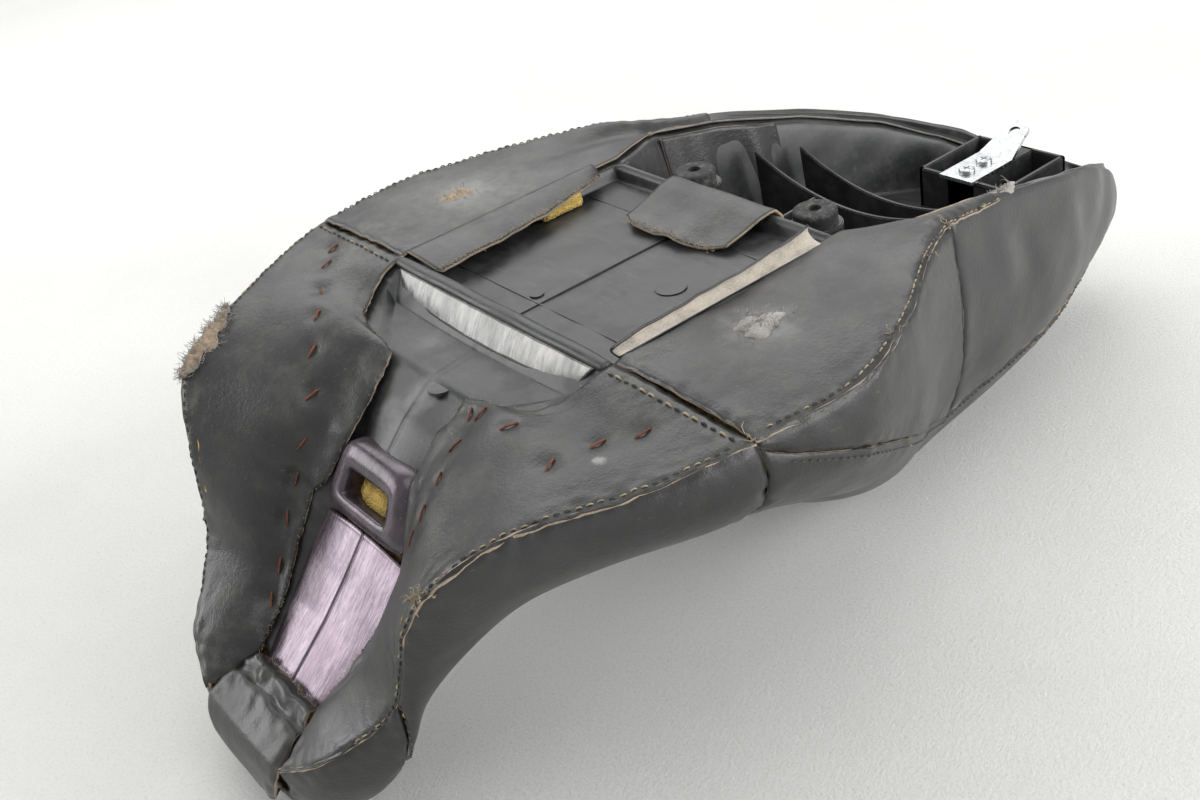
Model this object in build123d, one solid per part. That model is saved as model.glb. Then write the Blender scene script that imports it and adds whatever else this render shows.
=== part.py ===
from build123d import *
import math
import os

# A two-up motorcycle seat, lying on its saddle with its underside up.
# Millimetres. +X points to the nose, +Y to the rider's right, +Z out of the underside.
# The tables below are written from the design datum, the middle of the recess floor's
# front edge. DATUM is where that point sits in the part frame, whose origin is the
# middle of the bounding box's bottom face.
DATUM = Vector(142.8, 0, 198.16)

VINYL = 1.4  # cover sheet
FOAM_GAP = 6.0  # from the cover's outer face to the foam
FOAM_UNDER_PAN = 1.0
PAN = 3.0  # moulded wall of the seat pan
PAN_DEPTH = 3.4  # from the cover's outer face down to the pan's flange
NOSE_EXTRA = 2.6  # further down under the steep flanks of the nose
NOSE_FLANK_X = 138.0

# Outer skin, from the tail's tip to the nose. Each row is a cross-section: the rim seam
# (rim_x, half_width, rim_z), the lowest point of the saddle (low_x, low_z), how square
# the section is, and how far the side swells out past the rim.
SKIN = [
    (-506, 0, -113, -514, -146, 2.0, 5),
    (-498, 24, -107, -504, -150, 2.0, 5),
    (-466, 50, -90, -474, -162, 2.0, 6),
    (-425, 74, -64, -428, -176, 2.1, 6),
    (-380, 94, -41, -380, -189, 2.2, 7),
    (-320, 113, -19, -320, -199, 2.4, 8),
    (-250, 125, 0, -260, -203, 2.5, 8),
    (-195, 137, 10, -205, -202, 2.5, 8),
    (-150, 159, 15, -160, -190, 2.4, 8),
    (-100, 189, 13, -115, -168, 2.2, 8),
    (-45, 206, 10, -55, -122, 2.1, 9),
    (10, 199, 9, 0, -96, 2.1, 9),
    (65, 181, 3, 50, -90, 2.0, 9),
    (110, 156, -2, 88, -106, 1.9, 9),
    (146, 138, -17, 118, -132, 1.8, 8),
    (162, 119, -50, 145, -158, 1.8, 7),
    (171, 108, -92, 170, -184, 1.9, 6),
    (188, 92, -114, 190, -199, 2.0, 6),
    (208, 72, -130, 207, -201, 2.0, 5),
    (219, 44, -146, 215, -189, 2.0, 3),
]
REST_Z = -198.0  # the padding is pressed flat where it lies on the floor,
REST_BLEND = 2.0  # and rounds off this softly at the edge of that patch
TAIL_CREASE = 7  # row where the side boxing meets the tail panel
CROSS_SEAM = 11  # row of the seam across the seat, between rider and passenger
NOSE_SEAM = 16  # row where the rider's saddle panel meets the nose skirts
NOSE_END = 19

# Free edge of the underside facing beside each skin row: (x, y, z).
FACING_EDGE = {
    1: (-488, 16, -112),
    2: (-460, 40, -95),
    3: (-421, 64, -69),
    4: (-377, 83, -45),
    5: (-318, 102, -22),
    6: (-246, 113, -2),
    7: (-195, 117, 8),
    8: (-152, 96, 12),
    9: (-100, 99, 12),
    10: (-45, 99, 12),
    11: (10, 99, 13),
    12: (56, 42, -3),
    13: (90, 44, -27),
    14: (122, 50, -67),
    15: (140, 47, -91),
    16: (158, 41, -112),
    17: (172, 37, -124),
    18: (182, 34, -132),
    19: (188, 33, -138),
}

# Seat pan, from the tail to the nose: x, height of its middle, then half width and height
# of the floor's edge, then half width at the top of the wall. A flange runs on to the rim.
PAN_ROWS = [
    (-478, -122, 20, -122, 28),
    (-440, -112, 40, -112, 54),
    (-400, -102, 58, -102, 72),
    (-350, -92, 72, -92, 90),
    (-290, -82, 82, -82, 104),
    (-235, -76, 88, -76, 112),
    (-195, -72, 90, -72, 114),
    (-158, -68, 88, -68, 94),
    (-152, 9, 88, 9, 94),
    (-148, 9, 88, 9, 94),
    (-146, 0, 90, 0, 95),
    (-45, 0, 92, 0, 97),
    (10, 0, 92, 0, 97),
    (12, 12, 92, 11, 97),
    (17, 10, 92, 9, 97),
    (26, -5, 84, -5, 92),
    (58, -9, 44, -11, 62),
    (80, -25, 36, -30, 56),
    (104, -48, 34, -60, 56),
    (122, -79, 33, -88, 54),
    (140, -99, 32, -108, 52),
    (150, -109, 32, -117, 50),
    (157, -116, 31, -123, 48),
    (164, -122, 30, -129, 46),
    (171, -128, 29, -134, 44),
    (177, -133, 28, -138, 42),
    (184, -139, 25, -143, 37),
]

# Tongue socket at the nose of the pan: the middle of its sloping face, and its slot.
SOCKET_X = 113.0
SOCKET_Z = -54.0
SOCKET_TILT = 64.0  # of the face, down towards the nose
SOCKET_SIZE = (38.0, 60.0, 26.0)  # down the slope, across, and into the pan
SLOT_DROP = 3.0  # from the middle of the face down to the middle of the slot
SLOT_WIDTH = 44.0
SLOT_HEIGHT = 16.0

# Rear bracket and its sheet-metal tab.
BRACKET_X = -398.0
BRACKET_TOP = -66.0
BRACKET_SIZE = (66.0, 74.0, 34.0)
TAB_THICK = 2.5
TAB_WIDTH = 28.0
TAB_END_RADIUS = 10.0
TAB_HOLE = 4.25
TAB_LEAN = 27.0  # degrees above the bracket's top
TAB_REACH = 24.0  # from the bend to the middle of the hole
TAB_BEND_X = -403.0
TAB_FRONT_X = -360.0
SCREW_X = (-372.0, -390.0)
SCREW_SHANK = 3.0
SCREW_HEAD = 5.5
SCREW_HEAD_HEIGHT = 3.0

# Two rubber buffers behind the recess.
BUFFER_X = -177.0
BUFFER_Y = 52.0
BUFFER_RADIUS = 13.0
BUFFER_TOP = 4.0

# Ribs of the tunnel: across it as (x, top), and along it at +-LONG_RIB_Y.
CROSS_RIBS = [(-262, -24), (-300, -34)]
RIB = 3.0
RIB_SCOOP_RADIUS = 150.0
RIB_SCOOP_DEPTH = 22.0
LONG_RIB_Y = 34.0
LONG_RIB_X = (-260, -162)
LONG_RIB_TOP = -44.0

# Slot in the recess's left wall, where the foam shows: its x, y and z ranges.
FOAM_WINDOW = ((-110, -78), (-96, -84), (-10, 14))

# Levels of the foam's sides, as heights t of the skin.
FOAM_HEIGHTS = (0.16, 0.3, 0.42, 0.54, 0.66, 0.78, 0.89, 1.0)

# Staples, each as (row, share of the facing from its free edge, turn in degrees).
STAPLE_CROWN = 9.5
STAPLE_WIRE = 0.9
STAPLES_LEFT = [(11.25, 0.63, 37), (11.49, 0.57, 27), (11.86, 0.44, 3), (12.40, 0.45, -2)]
STAPLES_LEFT += [(12.90, 0.38, 5), (13.31, 0.28, 19), (13.77, 0.21, 23), (14.39, 0.12, 13)]
STAPLES_LEFT += [(14.89, 0.15, 1), (15.77, 0.14, 3), (16.57, 0.12, 6)]
STAPLES_RIGHT = [(11.45, 0.58, -22), (11.78, 0.54, 1), (12.35, 0.33, -78), (12.38, 0.67, 13)]
STAPLES_RIGHT += [(12.52, 0.16, 67), (12.63, 0.09, 44), (12.92, 0.21, 49), (13.29, 0.32, 32)]
STAPLES_RIGHT += [(13.57, 0.37, 1), (13.86, 0.31, -35)]

# Way of the tongue flap: over the recess's rear wall and down into the recess (x, z).
TONGUE_PATH = [(-160, 2), (-154, 11), (-148, 13), (-142, 11), (-128, 7), (-112, 4)]
TONGUE_HALF = 44.0

# Flaps at the recess's sides: the sections run (y, z) from the facing to the free edge.
FLAP_X = (-132, 2)
FLAP_LEFT = [(90, 11), (80, 9.5), (70, 8)]
FLAP_RIGHT = [(94, 11), (90, 15.5), (86, 20)]
SKIRT_X = (-292, -198)
SKIRT_GAP = 4.0  # from the tunnel's wall

SEAM_GAP = 0.02  # the same gap along the seams, as a share of the section's height
NUDGE = 0.02  # half of the gap left between neighbouring panels, in rows of SKIN


def place(node, solids):
    """Write one node, moved from the design datum into the part frame."""
    moved = [solid.moved(Location(DATUM)) for solid in solids]
    shape = moved[0] if len(moved) == 1 else Compound(children=moved)
    export_step(shape, f"parts/{node}.step")


def slopes(values):
    """Slopes that keep a curve through evenly spaced values free of overshoot."""
    steps = [b - a for a, b in zip(values, values[1:])]
    inner = [2 * a * b / (a + b) if a * b > 0 else 0.0 for a, b in zip(steps, steps[1:])]
    return [steps[0], *inner, steps[-1]]


def blend(values, u):
    """The value at row u, which may lie between two rows."""
    i = min(int(u), len(values) - 2)
    f = u - i
    m = slopes(values)
    return (
        (2 * f**3 - 3 * f**2 + 1) * values[i]
        + (f**3 - 2 * f**2 + f) * m[i]
        + (3 * f**2 - 2 * f**3) * values[i + 1]
        + (f**3 - f**2) * m[i + 1]
    )


def skin_row(u):
    return [blend([row[k] for row in SKIN], u) for k in range(7)]


def skin_point(u, t, side, inset=0.0):
    """A point of the outer skin: t is 0 at the rim seam and 1 at the saddle's middle."""
    rim_x, half, rim_z, low_x, low_z, square, swell = skin_row(u)
    angle = t * math.pi / 2
    across = max(0.0, math.cos(angle)) ** (2 / square)
    down = math.sin(angle) ** (2 / square)
    out = swell * math.sin(math.pi * min(1.0, 1.2 * down)) - inset
    wide = max(0.0, half * across + out * across**0.3)
    rest = REST_Z + inset
    rise = rim_z + (low_z + inset - rim_z) * down - rest
    z = rest + (rise + math.hypot(rise, REST_BLEND)) / 2
    return Vector(rim_x + (low_x - rim_x) * down, side * wide, z)


def facing_edge(u):
    rows = sorted(FACING_EDGE)
    table = [FACING_EDGE[r] for r in rows]
    return [blend([row[k] for row in table], u - rows[0]) for k in range(3)]


def steps(start, end, count):
    return [start + (end - start) * i / count for i in range(count + 1)]


def sheet(grid, thickness=VINYL, inward=Vector(0, 0, 1)):
    """A sheet of even thickness whose outer face passes through the grid's points."""
    face = Face.make_surface_from_array_of_points(grid)
    middle = face.normal_at(face.center())
    depth = thickness if middle.dot(inward) > 0 else -thickness
    return Solid.thicken(face, depth)


def side_band(u_start, u_end, t_start, t_end, side, rows, columns):
    """A sheet on one side of the seat, between two rows and two heights t(u)."""
    grid = []
    for u in steps(u_start + NUDGE, u_end - NUDGE, rows):
        low, high = t_start(u), t_end(u)
        grid.append([skin_point(u, t, side) for t in steps(low, high, columns)])
    return sheet(grid, inward=Vector(0, -side, 0.4))


def saddle_band(u_start, u_end, t_start, rows, columns):
    """A sheet right across the saddle, from one side's height t(u) to the other's."""
    grid = []
    for u in steps(u_start + NUDGE, u_end - NUDGE, rows):
        half = steps(t_start(u), 1.0, columns)
        left = [skin_point(u, t, -1) for t in half]
        right = [skin_point(u, t, 1) for t in half[:-1]]
        grid.append(left + right[::-1])
    return sheet(grid, inward=Vector(0, 0, 1))


def boxing_depth(u):
    """Height of the second seam: it opens at the cross seam and widens to the tail."""
    opened = min(1.0, max(0.0, (CROSS_SEAM - u) / 4.0))
    return SEAM_GAP + 0.36 * opened**0.7


def below_boxing(u):
    return boxing_depth(u) + SEAM_GAP


def rim(u):
    return SEAM_GAP


def facing_point(u, f, side):
    """A point of the underside facing: f is 0 at the free edge and 1 at the rim seam."""
    x, y, z = facing_edge(u)
    inner = Vector(x, side * y, z)
    return inner + (skin_point(u, 0.0, side) - inner) * f


def facing(u_start, u_end, side, rows):
    """Underside facing: the sheet from the rim seam in to its stapled free edge."""
    grid = []
    for u in steps(u_start + NUDGE, u_end - NUDGE, rows):
        grid.append([facing_point(u, f, side) for f in steps(0.0, 0.985, 3)])
    return sheet(grid, inward=Vector(0, 0, -1))


def row_at(x, point, low, high):
    """The row u at which point(u) has the given x."""
    for _ in range(30):
        middle = (low + high) / 2
        if point(middle).X < x:
            low = middle
        else:
            high = middle
    return (low + high) / 2


def facing_height(x, y):
    """Height of the facing's outer face above (x, y), held level past its edges."""
    line = []
    for f in steps(0.0, 1.0, 8):
        u = row_at(x, lambda row: facing_point(row, f, 1), 1, NOSE_END)
        line.append(facing_point(u, f, 1))
    for a, b in zip(line, line[1:]):
        if a.Y <= y <= b.Y:
            return a.Z + (b.Z - a.Z) * (y - a.Y) / (b.Y - a.Y)
    return line[0].Z if y < line[0].Y else line[-1].Z


def nose_panel():
    """Centre panel of the nose: from the lip of the throat over the front edge."""
    path = [
        (190, -138, 33),
        (205, -143, 39),
        (217, -147, 43),
        (223, -155, 42),
        (225, -167, 37),
        (222, -180, 27),
        (217, -187, 16),
    ]
    grid = [[Vector(x, half * f, z) for f in (-0.97, -0.5, 0, 0.5, 0.97)] for x, z, half in path]
    return sheet(grid, inward=Vector(-1, 0, -0.3))


def make_cover():
    left, right = -1, 1
    place("nose_panel", [nose_panel()])
    place("rider_saddle_panel", [saddle_band(CROSS_SEAM, NOSE_SEAM, rim, 12, 7)])
    place("nose_skirt_panel", [saddle_band(NOSE_SEAM, NOSE_END, rim, 6, 7)])
    place("passenger_top_panel", [saddle_band(0.5, CROSS_SEAM, below_boxing, 14, 7)])
    for name, side in (("left", left), ("right", right)):
        place(f"rider_facing_{name}", [facing(CROSS_SEAM, NOSE_END, side, 12)])
        place(f"passenger_facing_{name}", [facing(6, CROSS_SEAM, side, 8)])
        boxing = side_band(TAIL_CREASE, CROSS_SEAM, rim, boxing_depth, side, 8, 4)
        place(f"passenger_boxing_{name}", [boxing])
    place("tail_panel", [tail_panel()])


def tail_panel():
    """The sheet round the tail, from one side's crease to the other's."""
    rows = steps(0.0, TAIL_CREASE - NUDGE, 9)
    round_tail = [(u, -1) for u in rows[::-1]] + [(u, 1) for u in rows[1:]]
    grid = []
    for u, side in round_tail:
        heights = steps(rim(u), boxing_depth(u), 4)
        grid.append([skin_point(u, t, side) for t in heights])
    return sheet(grid, inward=Vector(1, 0, 0.4))


def pan_profile(row):
    """Half of the pan's upper face at one row, as (y, z) from the middle to the rim."""
    x, middle, floor_half, floor_z, wall_half = row
    rim_half = skin_at(x, 0.0, 0.0).Y - 7
    depth = PAN_DEPTH + (NOSE_EXTRA if x > NOSE_FLANK_X else 0)
    flange = [(y, facing_height(x, y) - depth) for y in steps(wall_half, rim_half, 4)]
    return [(0, middle), (floor_half, floor_z), *flange]


def closed_section(x, top, bottom):
    """A wire round one cross-section, given its right half from the middle outwards."""
    right = top + bottom[::-1]
    left = [(-y, z) for y, z in right if y > 0.01]
    return Wire.make_polygon([Vector(x, y, z) for y, z in right + left[::-1]], close=True)


def under(profile, drop):
    """The profile moved down, and its walls moved out by almost as much."""
    middle, *walls = profile
    spread = 0.8 * drop
    outer = [(y + spread, z - drop) for y, z in walls[:2]]
    return [(0, middle[1] - drop), *outer, *[(y, z - drop) for y, z in walls[2:]]]


def pan_section(row):
    top = pan_profile(row)
    return closed_section(row[0], top, under(top, PAN))


def pan_shell():
    return Solid.make_loft([pan_section(row) for row in PAN_ROWS], ruled=True)


def skin_at(x, t, inset):
    """The outer skin's point at a given x and height t, on the rider's right."""
    return skin_point(row_at(x, lambda row: skin_point(row, t, 1), 0, NOSE_END), t, 1, inset)


def foam_section(row):
    """The foam fills the space between the pan's lower face and the cover."""
    top = under(pan_profile(row), PAN + FOAM_UNDER_PAN)
    skin = [skin_at(row[0], t, FOAM_GAP) for t in FOAM_HEIGHTS]
    return closed_section(row[0], top, [(0, skin[-1].Z), *[(p.Y, p.Z) for p in skin[-2::-1]]])


def foam_bun():
    """The foam, with room for the tongue socket and the tab's tee nuts."""
    bun = Solid.make_loft([foam_section(row) for row in PAN_ROWS], ruled=True)
    pocket = [size + 2 for size in SOCKET_SIZE]
    bun -= tilted(SOCKET_X, SOCKET_Z, SOCKET_TILT, pocket)
    bun -= block((BRACKET_X - 34, BRACKET_X + 34), (-38, 38), (-101, -60))
    bun -= block((SCREW_X[1] - 10, SCREW_X[0] + 10), (-10, 10), (-124, -90))
    return bun.solids().sort_by(SortBy.VOLUME)[-1]


def pan_floor(x):
    """Height of the pan's middle line at x."""
    for a, b in zip(PAN_ROWS, PAN_ROWS[1:]):
        if a[0] <= x <= b[0]:
            return a[1] + (b[1] - a[1]) * (x - a[0]) / (b[0] - a[0])
    return PAN_ROWS[-1][1]


def block(x_range, y_range, z_range):
    size = [high - low for low, high in (x_range, y_range, z_range)]
    middle = [(high + low) / 2 for low, high in (x_range, y_range, z_range)]
    return Box(*size).moved(Location(Vector(*middle)))


def tilted(x, z, angle, size):
    """A box whose top face's middle is at (x, 0, z), its nose end turned down by angle."""
    length, width, height = size
    box = Box(length, width, height).moved(Location((0, 0, -height / 2)))
    return box.moved(Location((x, 0, z), (0, angle, 0)))


def tongue_socket():
    body = tilted(SOCKET_X, SOCKET_Z, SOCKET_TILT, SOCKET_SIZE)
    return fillet(body.edges().filter_by(Axis.Y).group_by(Axis.Z)[-1], 3)


def slot_cut():
    """The slot's tool, which starts above the socket's face and goes through the pan."""
    rise = 20.0
    slope = math.radians(SOCKET_TILT)
    x = SOCKET_X + rise * math.sin(slope) + SLOT_DROP * math.cos(slope)
    z = SOCKET_Z + rise * math.cos(slope) - SLOT_DROP * math.sin(slope)
    return tilted(x, z, SOCKET_TILT, (SLOT_HEIGHT, SLOT_WIDTH, rise + 40))


def cross_rib(x, top):
    """A rib across the tunnel, with its top scooped out in an arc."""
    plate = block((x - RIB / 2, x + RIB / 2), (-86, 86), (pan_floor(x) - 1, top))
    scoop_z = top + RIB_SCOOP_RADIUS - RIB_SCOOP_DEPTH
    scoop = Cylinder(RIB_SCOOP_RADIUS, 3 * RIB).moved(Location((x, 0, scoop_z), (0, 90, 0)))
    return plate - scoop


def long_rib(y, x_start, x_end, top):
    """A rib along the tunnel, rooted in the pan's sloping floor."""
    floor = [(x, pan_floor(x) - 1) for x in steps(x_start, x_end, 4)]
    outline = Polyline(*floor, (x_end, top), (x_start, top), close=True)
    wall = extrude(make_face(Plane.XZ * outline), RIB / 2, both=True)
    return wall.moved(Location((0, y, 0)))


def tunnel_ribs():
    ribs = [cross_rib(x, top) for x, top in CROSS_RIBS]
    return ribs + [long_rib(y, *LONG_RIB_X, LONG_RIB_TOP) for y in (-LONG_RIB_Y, LONG_RIB_Y)]


def bracket_box():
    length, width, height = BRACKET_SIZE
    x = BRACKET_X
    top = BRACKET_TOP
    body = block((x - length / 2, x + length / 2), (-width / 2, width / 2), (top - height, top))
    for side in (-1, 1):
        pocket_y = (side * width / 2 - side * 4, side * 12)
        pocket = block((x + 4, x + length / 2 - 4), sorted(pocket_y), (top - height / 2, top + 1))
        body -= pocket
    return body


def make_pan():
    pan = pan_shell()
    for piece in [tongue_socket(), bracket_box(), *tunnel_ribs()]:
        pan = pan + piece
    for side in (-1, 1):
        seat = Cylinder(BUFFER_RADIUS + 3, 66).moved(Location((BUFFER_X, side * BUFFER_Y, -38)))
        pan = pan + seat
    pan = pan - slot_cut()
    pan = pan - block(*FOAM_WINDOW)
    for x in SCREW_X:
        pan = pan - Cylinder(SCREW_SHANK + 0.2, 90).moved(Location((x, 0, BRACKET_TOP)))
    place("seat_pan", [pan.solids().sort_by(SortBy.VOLUME)[-1]])


def make_rear_tab():
    """Bent zinc-plated tab, its two screws and the tee nuts under the bracket."""
    bottom = BRACKET_TOP + 0.05
    half = TAB_WIDTH / 2
    base = block((TAB_BEND_X, TAB_FRONT_X), (-half, half), (bottom, bottom + TAB_THICK))
    for x in SCREW_X:
        base -= Cylinder(SCREW_SHANK + 0.3, 20).moved(Location((x, 0, bottom)))
    side = math.sqrt(TAB_REACH**2 - TAB_END_RADIUS**2)
    outline = Polyline((0, -half), (side, -TAB_END_RADIUS), (side, TAB_END_RADIUS), (0, half), close=True)
    plate = extrude(make_face(outline), TAB_THICK) + extrude(
        Pos(TAB_REACH, 0) * Circle(TAB_END_RADIUS), TAB_THICK
    )
    plate -= Pos(TAB_REACH, 0, 0) * Cylinder(TAB_HOLE, 20)
    turn = Location((TAB_BEND_X, 0, bottom), (0, TAB_LEAN, 180))
    place("rear_mounting_tab", [(base + plate.moved(turn)).solids()[0]])
    place("tab_screws", [tab_screw(x) for x in SCREW_X])
    place("tab_tee_nuts", [tee_nut(x) for x in SCREW_X])


def tab_screw(x):
    """A pan-head screw with a cross recess, from the tab down into its tee nut."""
    seat = BRACKET_TOP + TAB_THICK + 0.1
    head = Cylinder(SCREW_HEAD, SCREW_HEAD_HEIGHT).moved(Location((x, 0, seat + SCREW_HEAD_HEIGHT / 2)))
    head = fillet(head.edges().group_by(Axis.Z)[-1], 1.4)
    for turned in (0, 90):
        head -= Box(6, 1.2, 2).moved(Location((x, 0, seat + SCREW_HEAD_HEIGHT), (0, 0, turned)))
    length = 42
    shank = Cylinder(SCREW_SHANK, length).moved(Location((x, 0, seat - length / 2)))
    return (head + shank).solids()[0]


def tee_nut(x):
    """A tee nut under the bracket, clear of the pan's wall."""
    top = pan_floor(x) - PAN - 2.5
    flange = Cylinder(8, 1.5).moved(Location((x, 0, top - 0.75)))
    barrel = Cylinder(4.5, 6).moved(Location((x, 0, top - 3)))
    bore = Cylinder(SCREW_SHANK + 0.05, 30).moved(Location((x, 0, top)))
    return (flange + barrel - bore).solids()[0]


def make_buffers():
    """Rubber buffers standing on the pan behind the recess."""
    foot = -5.0
    for name, side in (("left", -1), ("right", 1)):
        puck = Cylinder(BUFFER_RADIUS, BUFFER_TOP - foot)
        puck = fillet(puck.edges().group_by(Axis.Z)[-1], 2)
        puck -= Cylinder(4, 6).moved(Location((0, 0, (BUFFER_TOP - foot) / 2)))
        middle = (BUFFER_TOP + foot) / 2 + 0.05
        place(f"rubber_buffer_{name}", [puck.moved(Location((BUFFER_X, side * BUFFER_Y, middle)))])


def staple(u, f, side, turn):
    """A staple's crown and the stubs of its legs, standing on the facing."""
    spot = facing_point(u, f, side)
    along = facing_point(u + 0.1, f, side) - spot
    across = facing_point(u, f + 0.05, side) - spot
    up = along.cross(across)
    if up.Z < 0:
        up = -up
    seat = Plane(origin=spot + up.normalized() * 0.9, x_dir=along, z_dir=up).rotated((0, 0, turn))
    crown = Box(STAPLE_CROWN, STAPLE_WIRE, 2 * STAPLE_WIRE)
    crown = crown.moved(Location((0, 0, STAPLE_WIRE)))
    crown -= Box(STAPLE_CROWN - 2 * STAPLE_WIRE, 2, STAPLE_WIRE * 1.6)
    return seat.location * crown


def make_staples():
    for name, side, places in (("left", -1, STAPLES_LEFT), ("right", 1, STAPLES_RIGHT)):
        place(f"staples_{name}", [staple(u, f, side, turn).solids()[0] for u, f, turn in places])


def make_flaps():
    """The strips of cover that are folded into the recess and the tunnel."""
    for name, side, section in (("left", -1, FLAP_LEFT), ("right", 1, FLAP_RIGHT)):
        grid = [[Vector(x, side * y, z) for y, z in section] for x in steps(*FLAP_X, 6)]
        place(f"recess_flap_{name}", [sheet(grid, inward=Vector(0, 0, -1))])
    grid = [[Vector(x, y, z) for y in steps(-TONGUE_HALF, TONGUE_HALF, 4)] for x, z in TONGUE_PATH]
    place("tongue_flap", [sheet(grid, inward=Vector(0, 0, -1))])


def pan_wall(x, f):
    """A point of the pan's wall at x: f is 0 at its top and 1 at the floor's edge."""
    lows = [row for row in PAN_ROWS if row[0] <= x]
    highs = [row for row in PAN_ROWS if row[0] > x]
    near, far = lows[-1], highs[0]
    share = (x - near[0]) / (far[0] - near[0])
    near_wall, far_wall = pan_profile(near)[2:0:-1], pan_profile(far)[2:0:-1]
    ends = [
        [a + (b - a) * share for a, b in zip(near_end, far_end)]
        for near_end, far_end in zip(near_wall, far_wall)
    ]
    return [a + (b - a) * f for a, b in zip(*ends)]


def make_tunnel_skirts():
    """The facing's ends, hanging down the tunnel's walls."""
    for name, side in (("left", -1), ("right", 1)):
        grid = []
        for x in steps(*SKIRT_X, 6):
            wall = [pan_wall(x, f) for f in (0.08, 0.35, 0.65)]
            grid.append([Vector(x, side * (y - SKIRT_GAP), z) for y, z in wall])
        place(f"tunnel_skirt_{name}", [sheet(grid, inward=Vector(0, side, 0))])


def main():
    os.makedirs("parts", exist_ok=True)
    make_cover()
    make_pan()
    place("foam_bun", [foam_bun()])
    make_rear_tab()
    make_buffers()
    make_staples()
    make_flaps()
    make_tunnel_skirts()


main()
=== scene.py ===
"""A two-up motorcycle seat lying on its saddle, seen from its underside.

The shapes below repeat the driving tables of the CAD model, in millimetres from the same
design datum, and add what the CAD leaves out: seams, folds, staple dents, torn edges,
moulded detail and materials. Everything is built in the CAD's frame.
"""
import math

import bmesh
import bpy
import numpy as np
from mathutils import Matrix


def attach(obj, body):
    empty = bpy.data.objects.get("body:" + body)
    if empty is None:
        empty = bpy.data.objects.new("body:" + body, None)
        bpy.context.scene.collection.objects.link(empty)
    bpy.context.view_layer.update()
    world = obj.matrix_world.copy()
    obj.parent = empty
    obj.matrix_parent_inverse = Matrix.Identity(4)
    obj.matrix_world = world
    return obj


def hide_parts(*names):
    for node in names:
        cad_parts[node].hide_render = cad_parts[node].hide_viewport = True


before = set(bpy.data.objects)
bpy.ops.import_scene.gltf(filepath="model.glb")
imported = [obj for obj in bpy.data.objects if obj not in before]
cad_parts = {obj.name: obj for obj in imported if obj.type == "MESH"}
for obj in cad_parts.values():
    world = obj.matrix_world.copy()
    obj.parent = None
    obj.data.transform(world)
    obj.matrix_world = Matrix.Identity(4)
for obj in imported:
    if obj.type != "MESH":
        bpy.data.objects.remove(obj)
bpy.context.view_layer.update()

MM = 0.001
DATUM = np.array([142.8, 0.0, 198.16])
VINYL = 1.5  # a sheet's thickness

# Places along the section: the second seam where it opens, and the rim seam.
SEAM_GAP = 0.02
SEAM_SHUT = 0.002

# Rows of SKIN where the panels begin and end, and half the gap between two panels.
NUDGE = 0.006
TAIL_TIP = 0.10
TAIL_CREASE = 7
CROSS_SEAM = 11
NOSE_SEAM = 16
NOSE_END = 19

LEFT, RIGHT = -1, 1
SIDES = (("left", LEFT), ("right", RIGHT))
ALL_SEAMS = ("u0", "u1", "v0", "v1")
UPWARD = (0, 0, 1)
FLANGE_DROP = 3.8  # from the cover to the pan's flange
SOCKET_TILT = 60.0
SOCKET_MIDDLE = np.array([113.5, 0.0, -55.5])
PARTING_LINE_HALF = 0.9

# Outer skin, from the tail to the nose: rim_x, half width, rim_z, low_x, low_z, squareness
# of the section, swell of the side past the rim.
SKIN = np.array([
    (-506, 0, -113, -514, -146, 2.0, 5),
    (-498, 24, -107, -504, -150, 2.0, 5),
    (-466, 50, -90, -474, -162, 2.0, 6),
    (-425, 74, -64, -428, -176, 2.1, 6),
    (-380, 94, -41, -380, -189, 2.2, 7),
    (-320, 113, -19, -320, -199, 2.4, 8),
    (-250, 125, 0, -260, -203, 2.5, 8),
    (-195, 137, 10, -205, -202, 2.5, 8),
    (-150, 159, 15, -160, -190, 2.4, 8),
    (-100, 189, 13, -115, -168, 2.2, 8),
    (-45, 206, 10, -55, -122, 2.1, 9),
    (10, 199, 9, 0, -96, 2.1, 9),
    (65, 181, 3, 50, -90, 2.0, 9),
    (110, 156, -2, 88, -106, 1.9, 9),
    (146, 138, -17, 118, -132, 1.8, 8),
    (162, 119, -50, 145, -158, 1.8, 7),
    (171, 108, -92, 170, -184, 1.9, 6),
    (188, 92, -114, 190, -199, 2.0, 6),
    (208, 72, -130, 207, -201, 2.0, 5),
    (219, 44, -146, 215, -189, 2.0, 3),
], dtype=float)
# Height of the floor that the padding is pressed on, and how softly it flattens.
REST_Z = -198.0
REST_BLEND = 2.0

# Free edge of the underside facing: skin row, then x, y, z.
FACING_EDGE = np.array([
    (0.3, -505, 4, -121),
    (1, -488, 16, -112),
    (2, -460, 40, -95),
    (3, -421, 64, -69),
    (4, -377, 83, -45),
    (5, -318, 102, -22),
    (6, -246, 113, -2),
    (7, -195, 117, 8),
    (8, -152, 97, 12),
    (9, -100, 99, 12),
    (10, -45, 99, 12),
    (11, 10, 100, 13),
    (11.25, 26, 98, 8),
    (11.5, 39, 92, 1),
    (11.75, 50, 83, -2),
    (12, 56, 68, -3),
    (12.25, 58, 50, -4),
    (12.5, 60, 38, -6),
    (13, 79, 32, -20),
    (13.5, 101, 32, -39),
    (14, 119, 42, -64),
    (14.4, 124, 50, -70),
    (15, 140, 47, -91),
    (16, 158, 41, -112),
    (17, 172, 37, -124),
    (18, 182, 34, -132),
    (19, 188, 33, -138),
], dtype=float)

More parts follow.
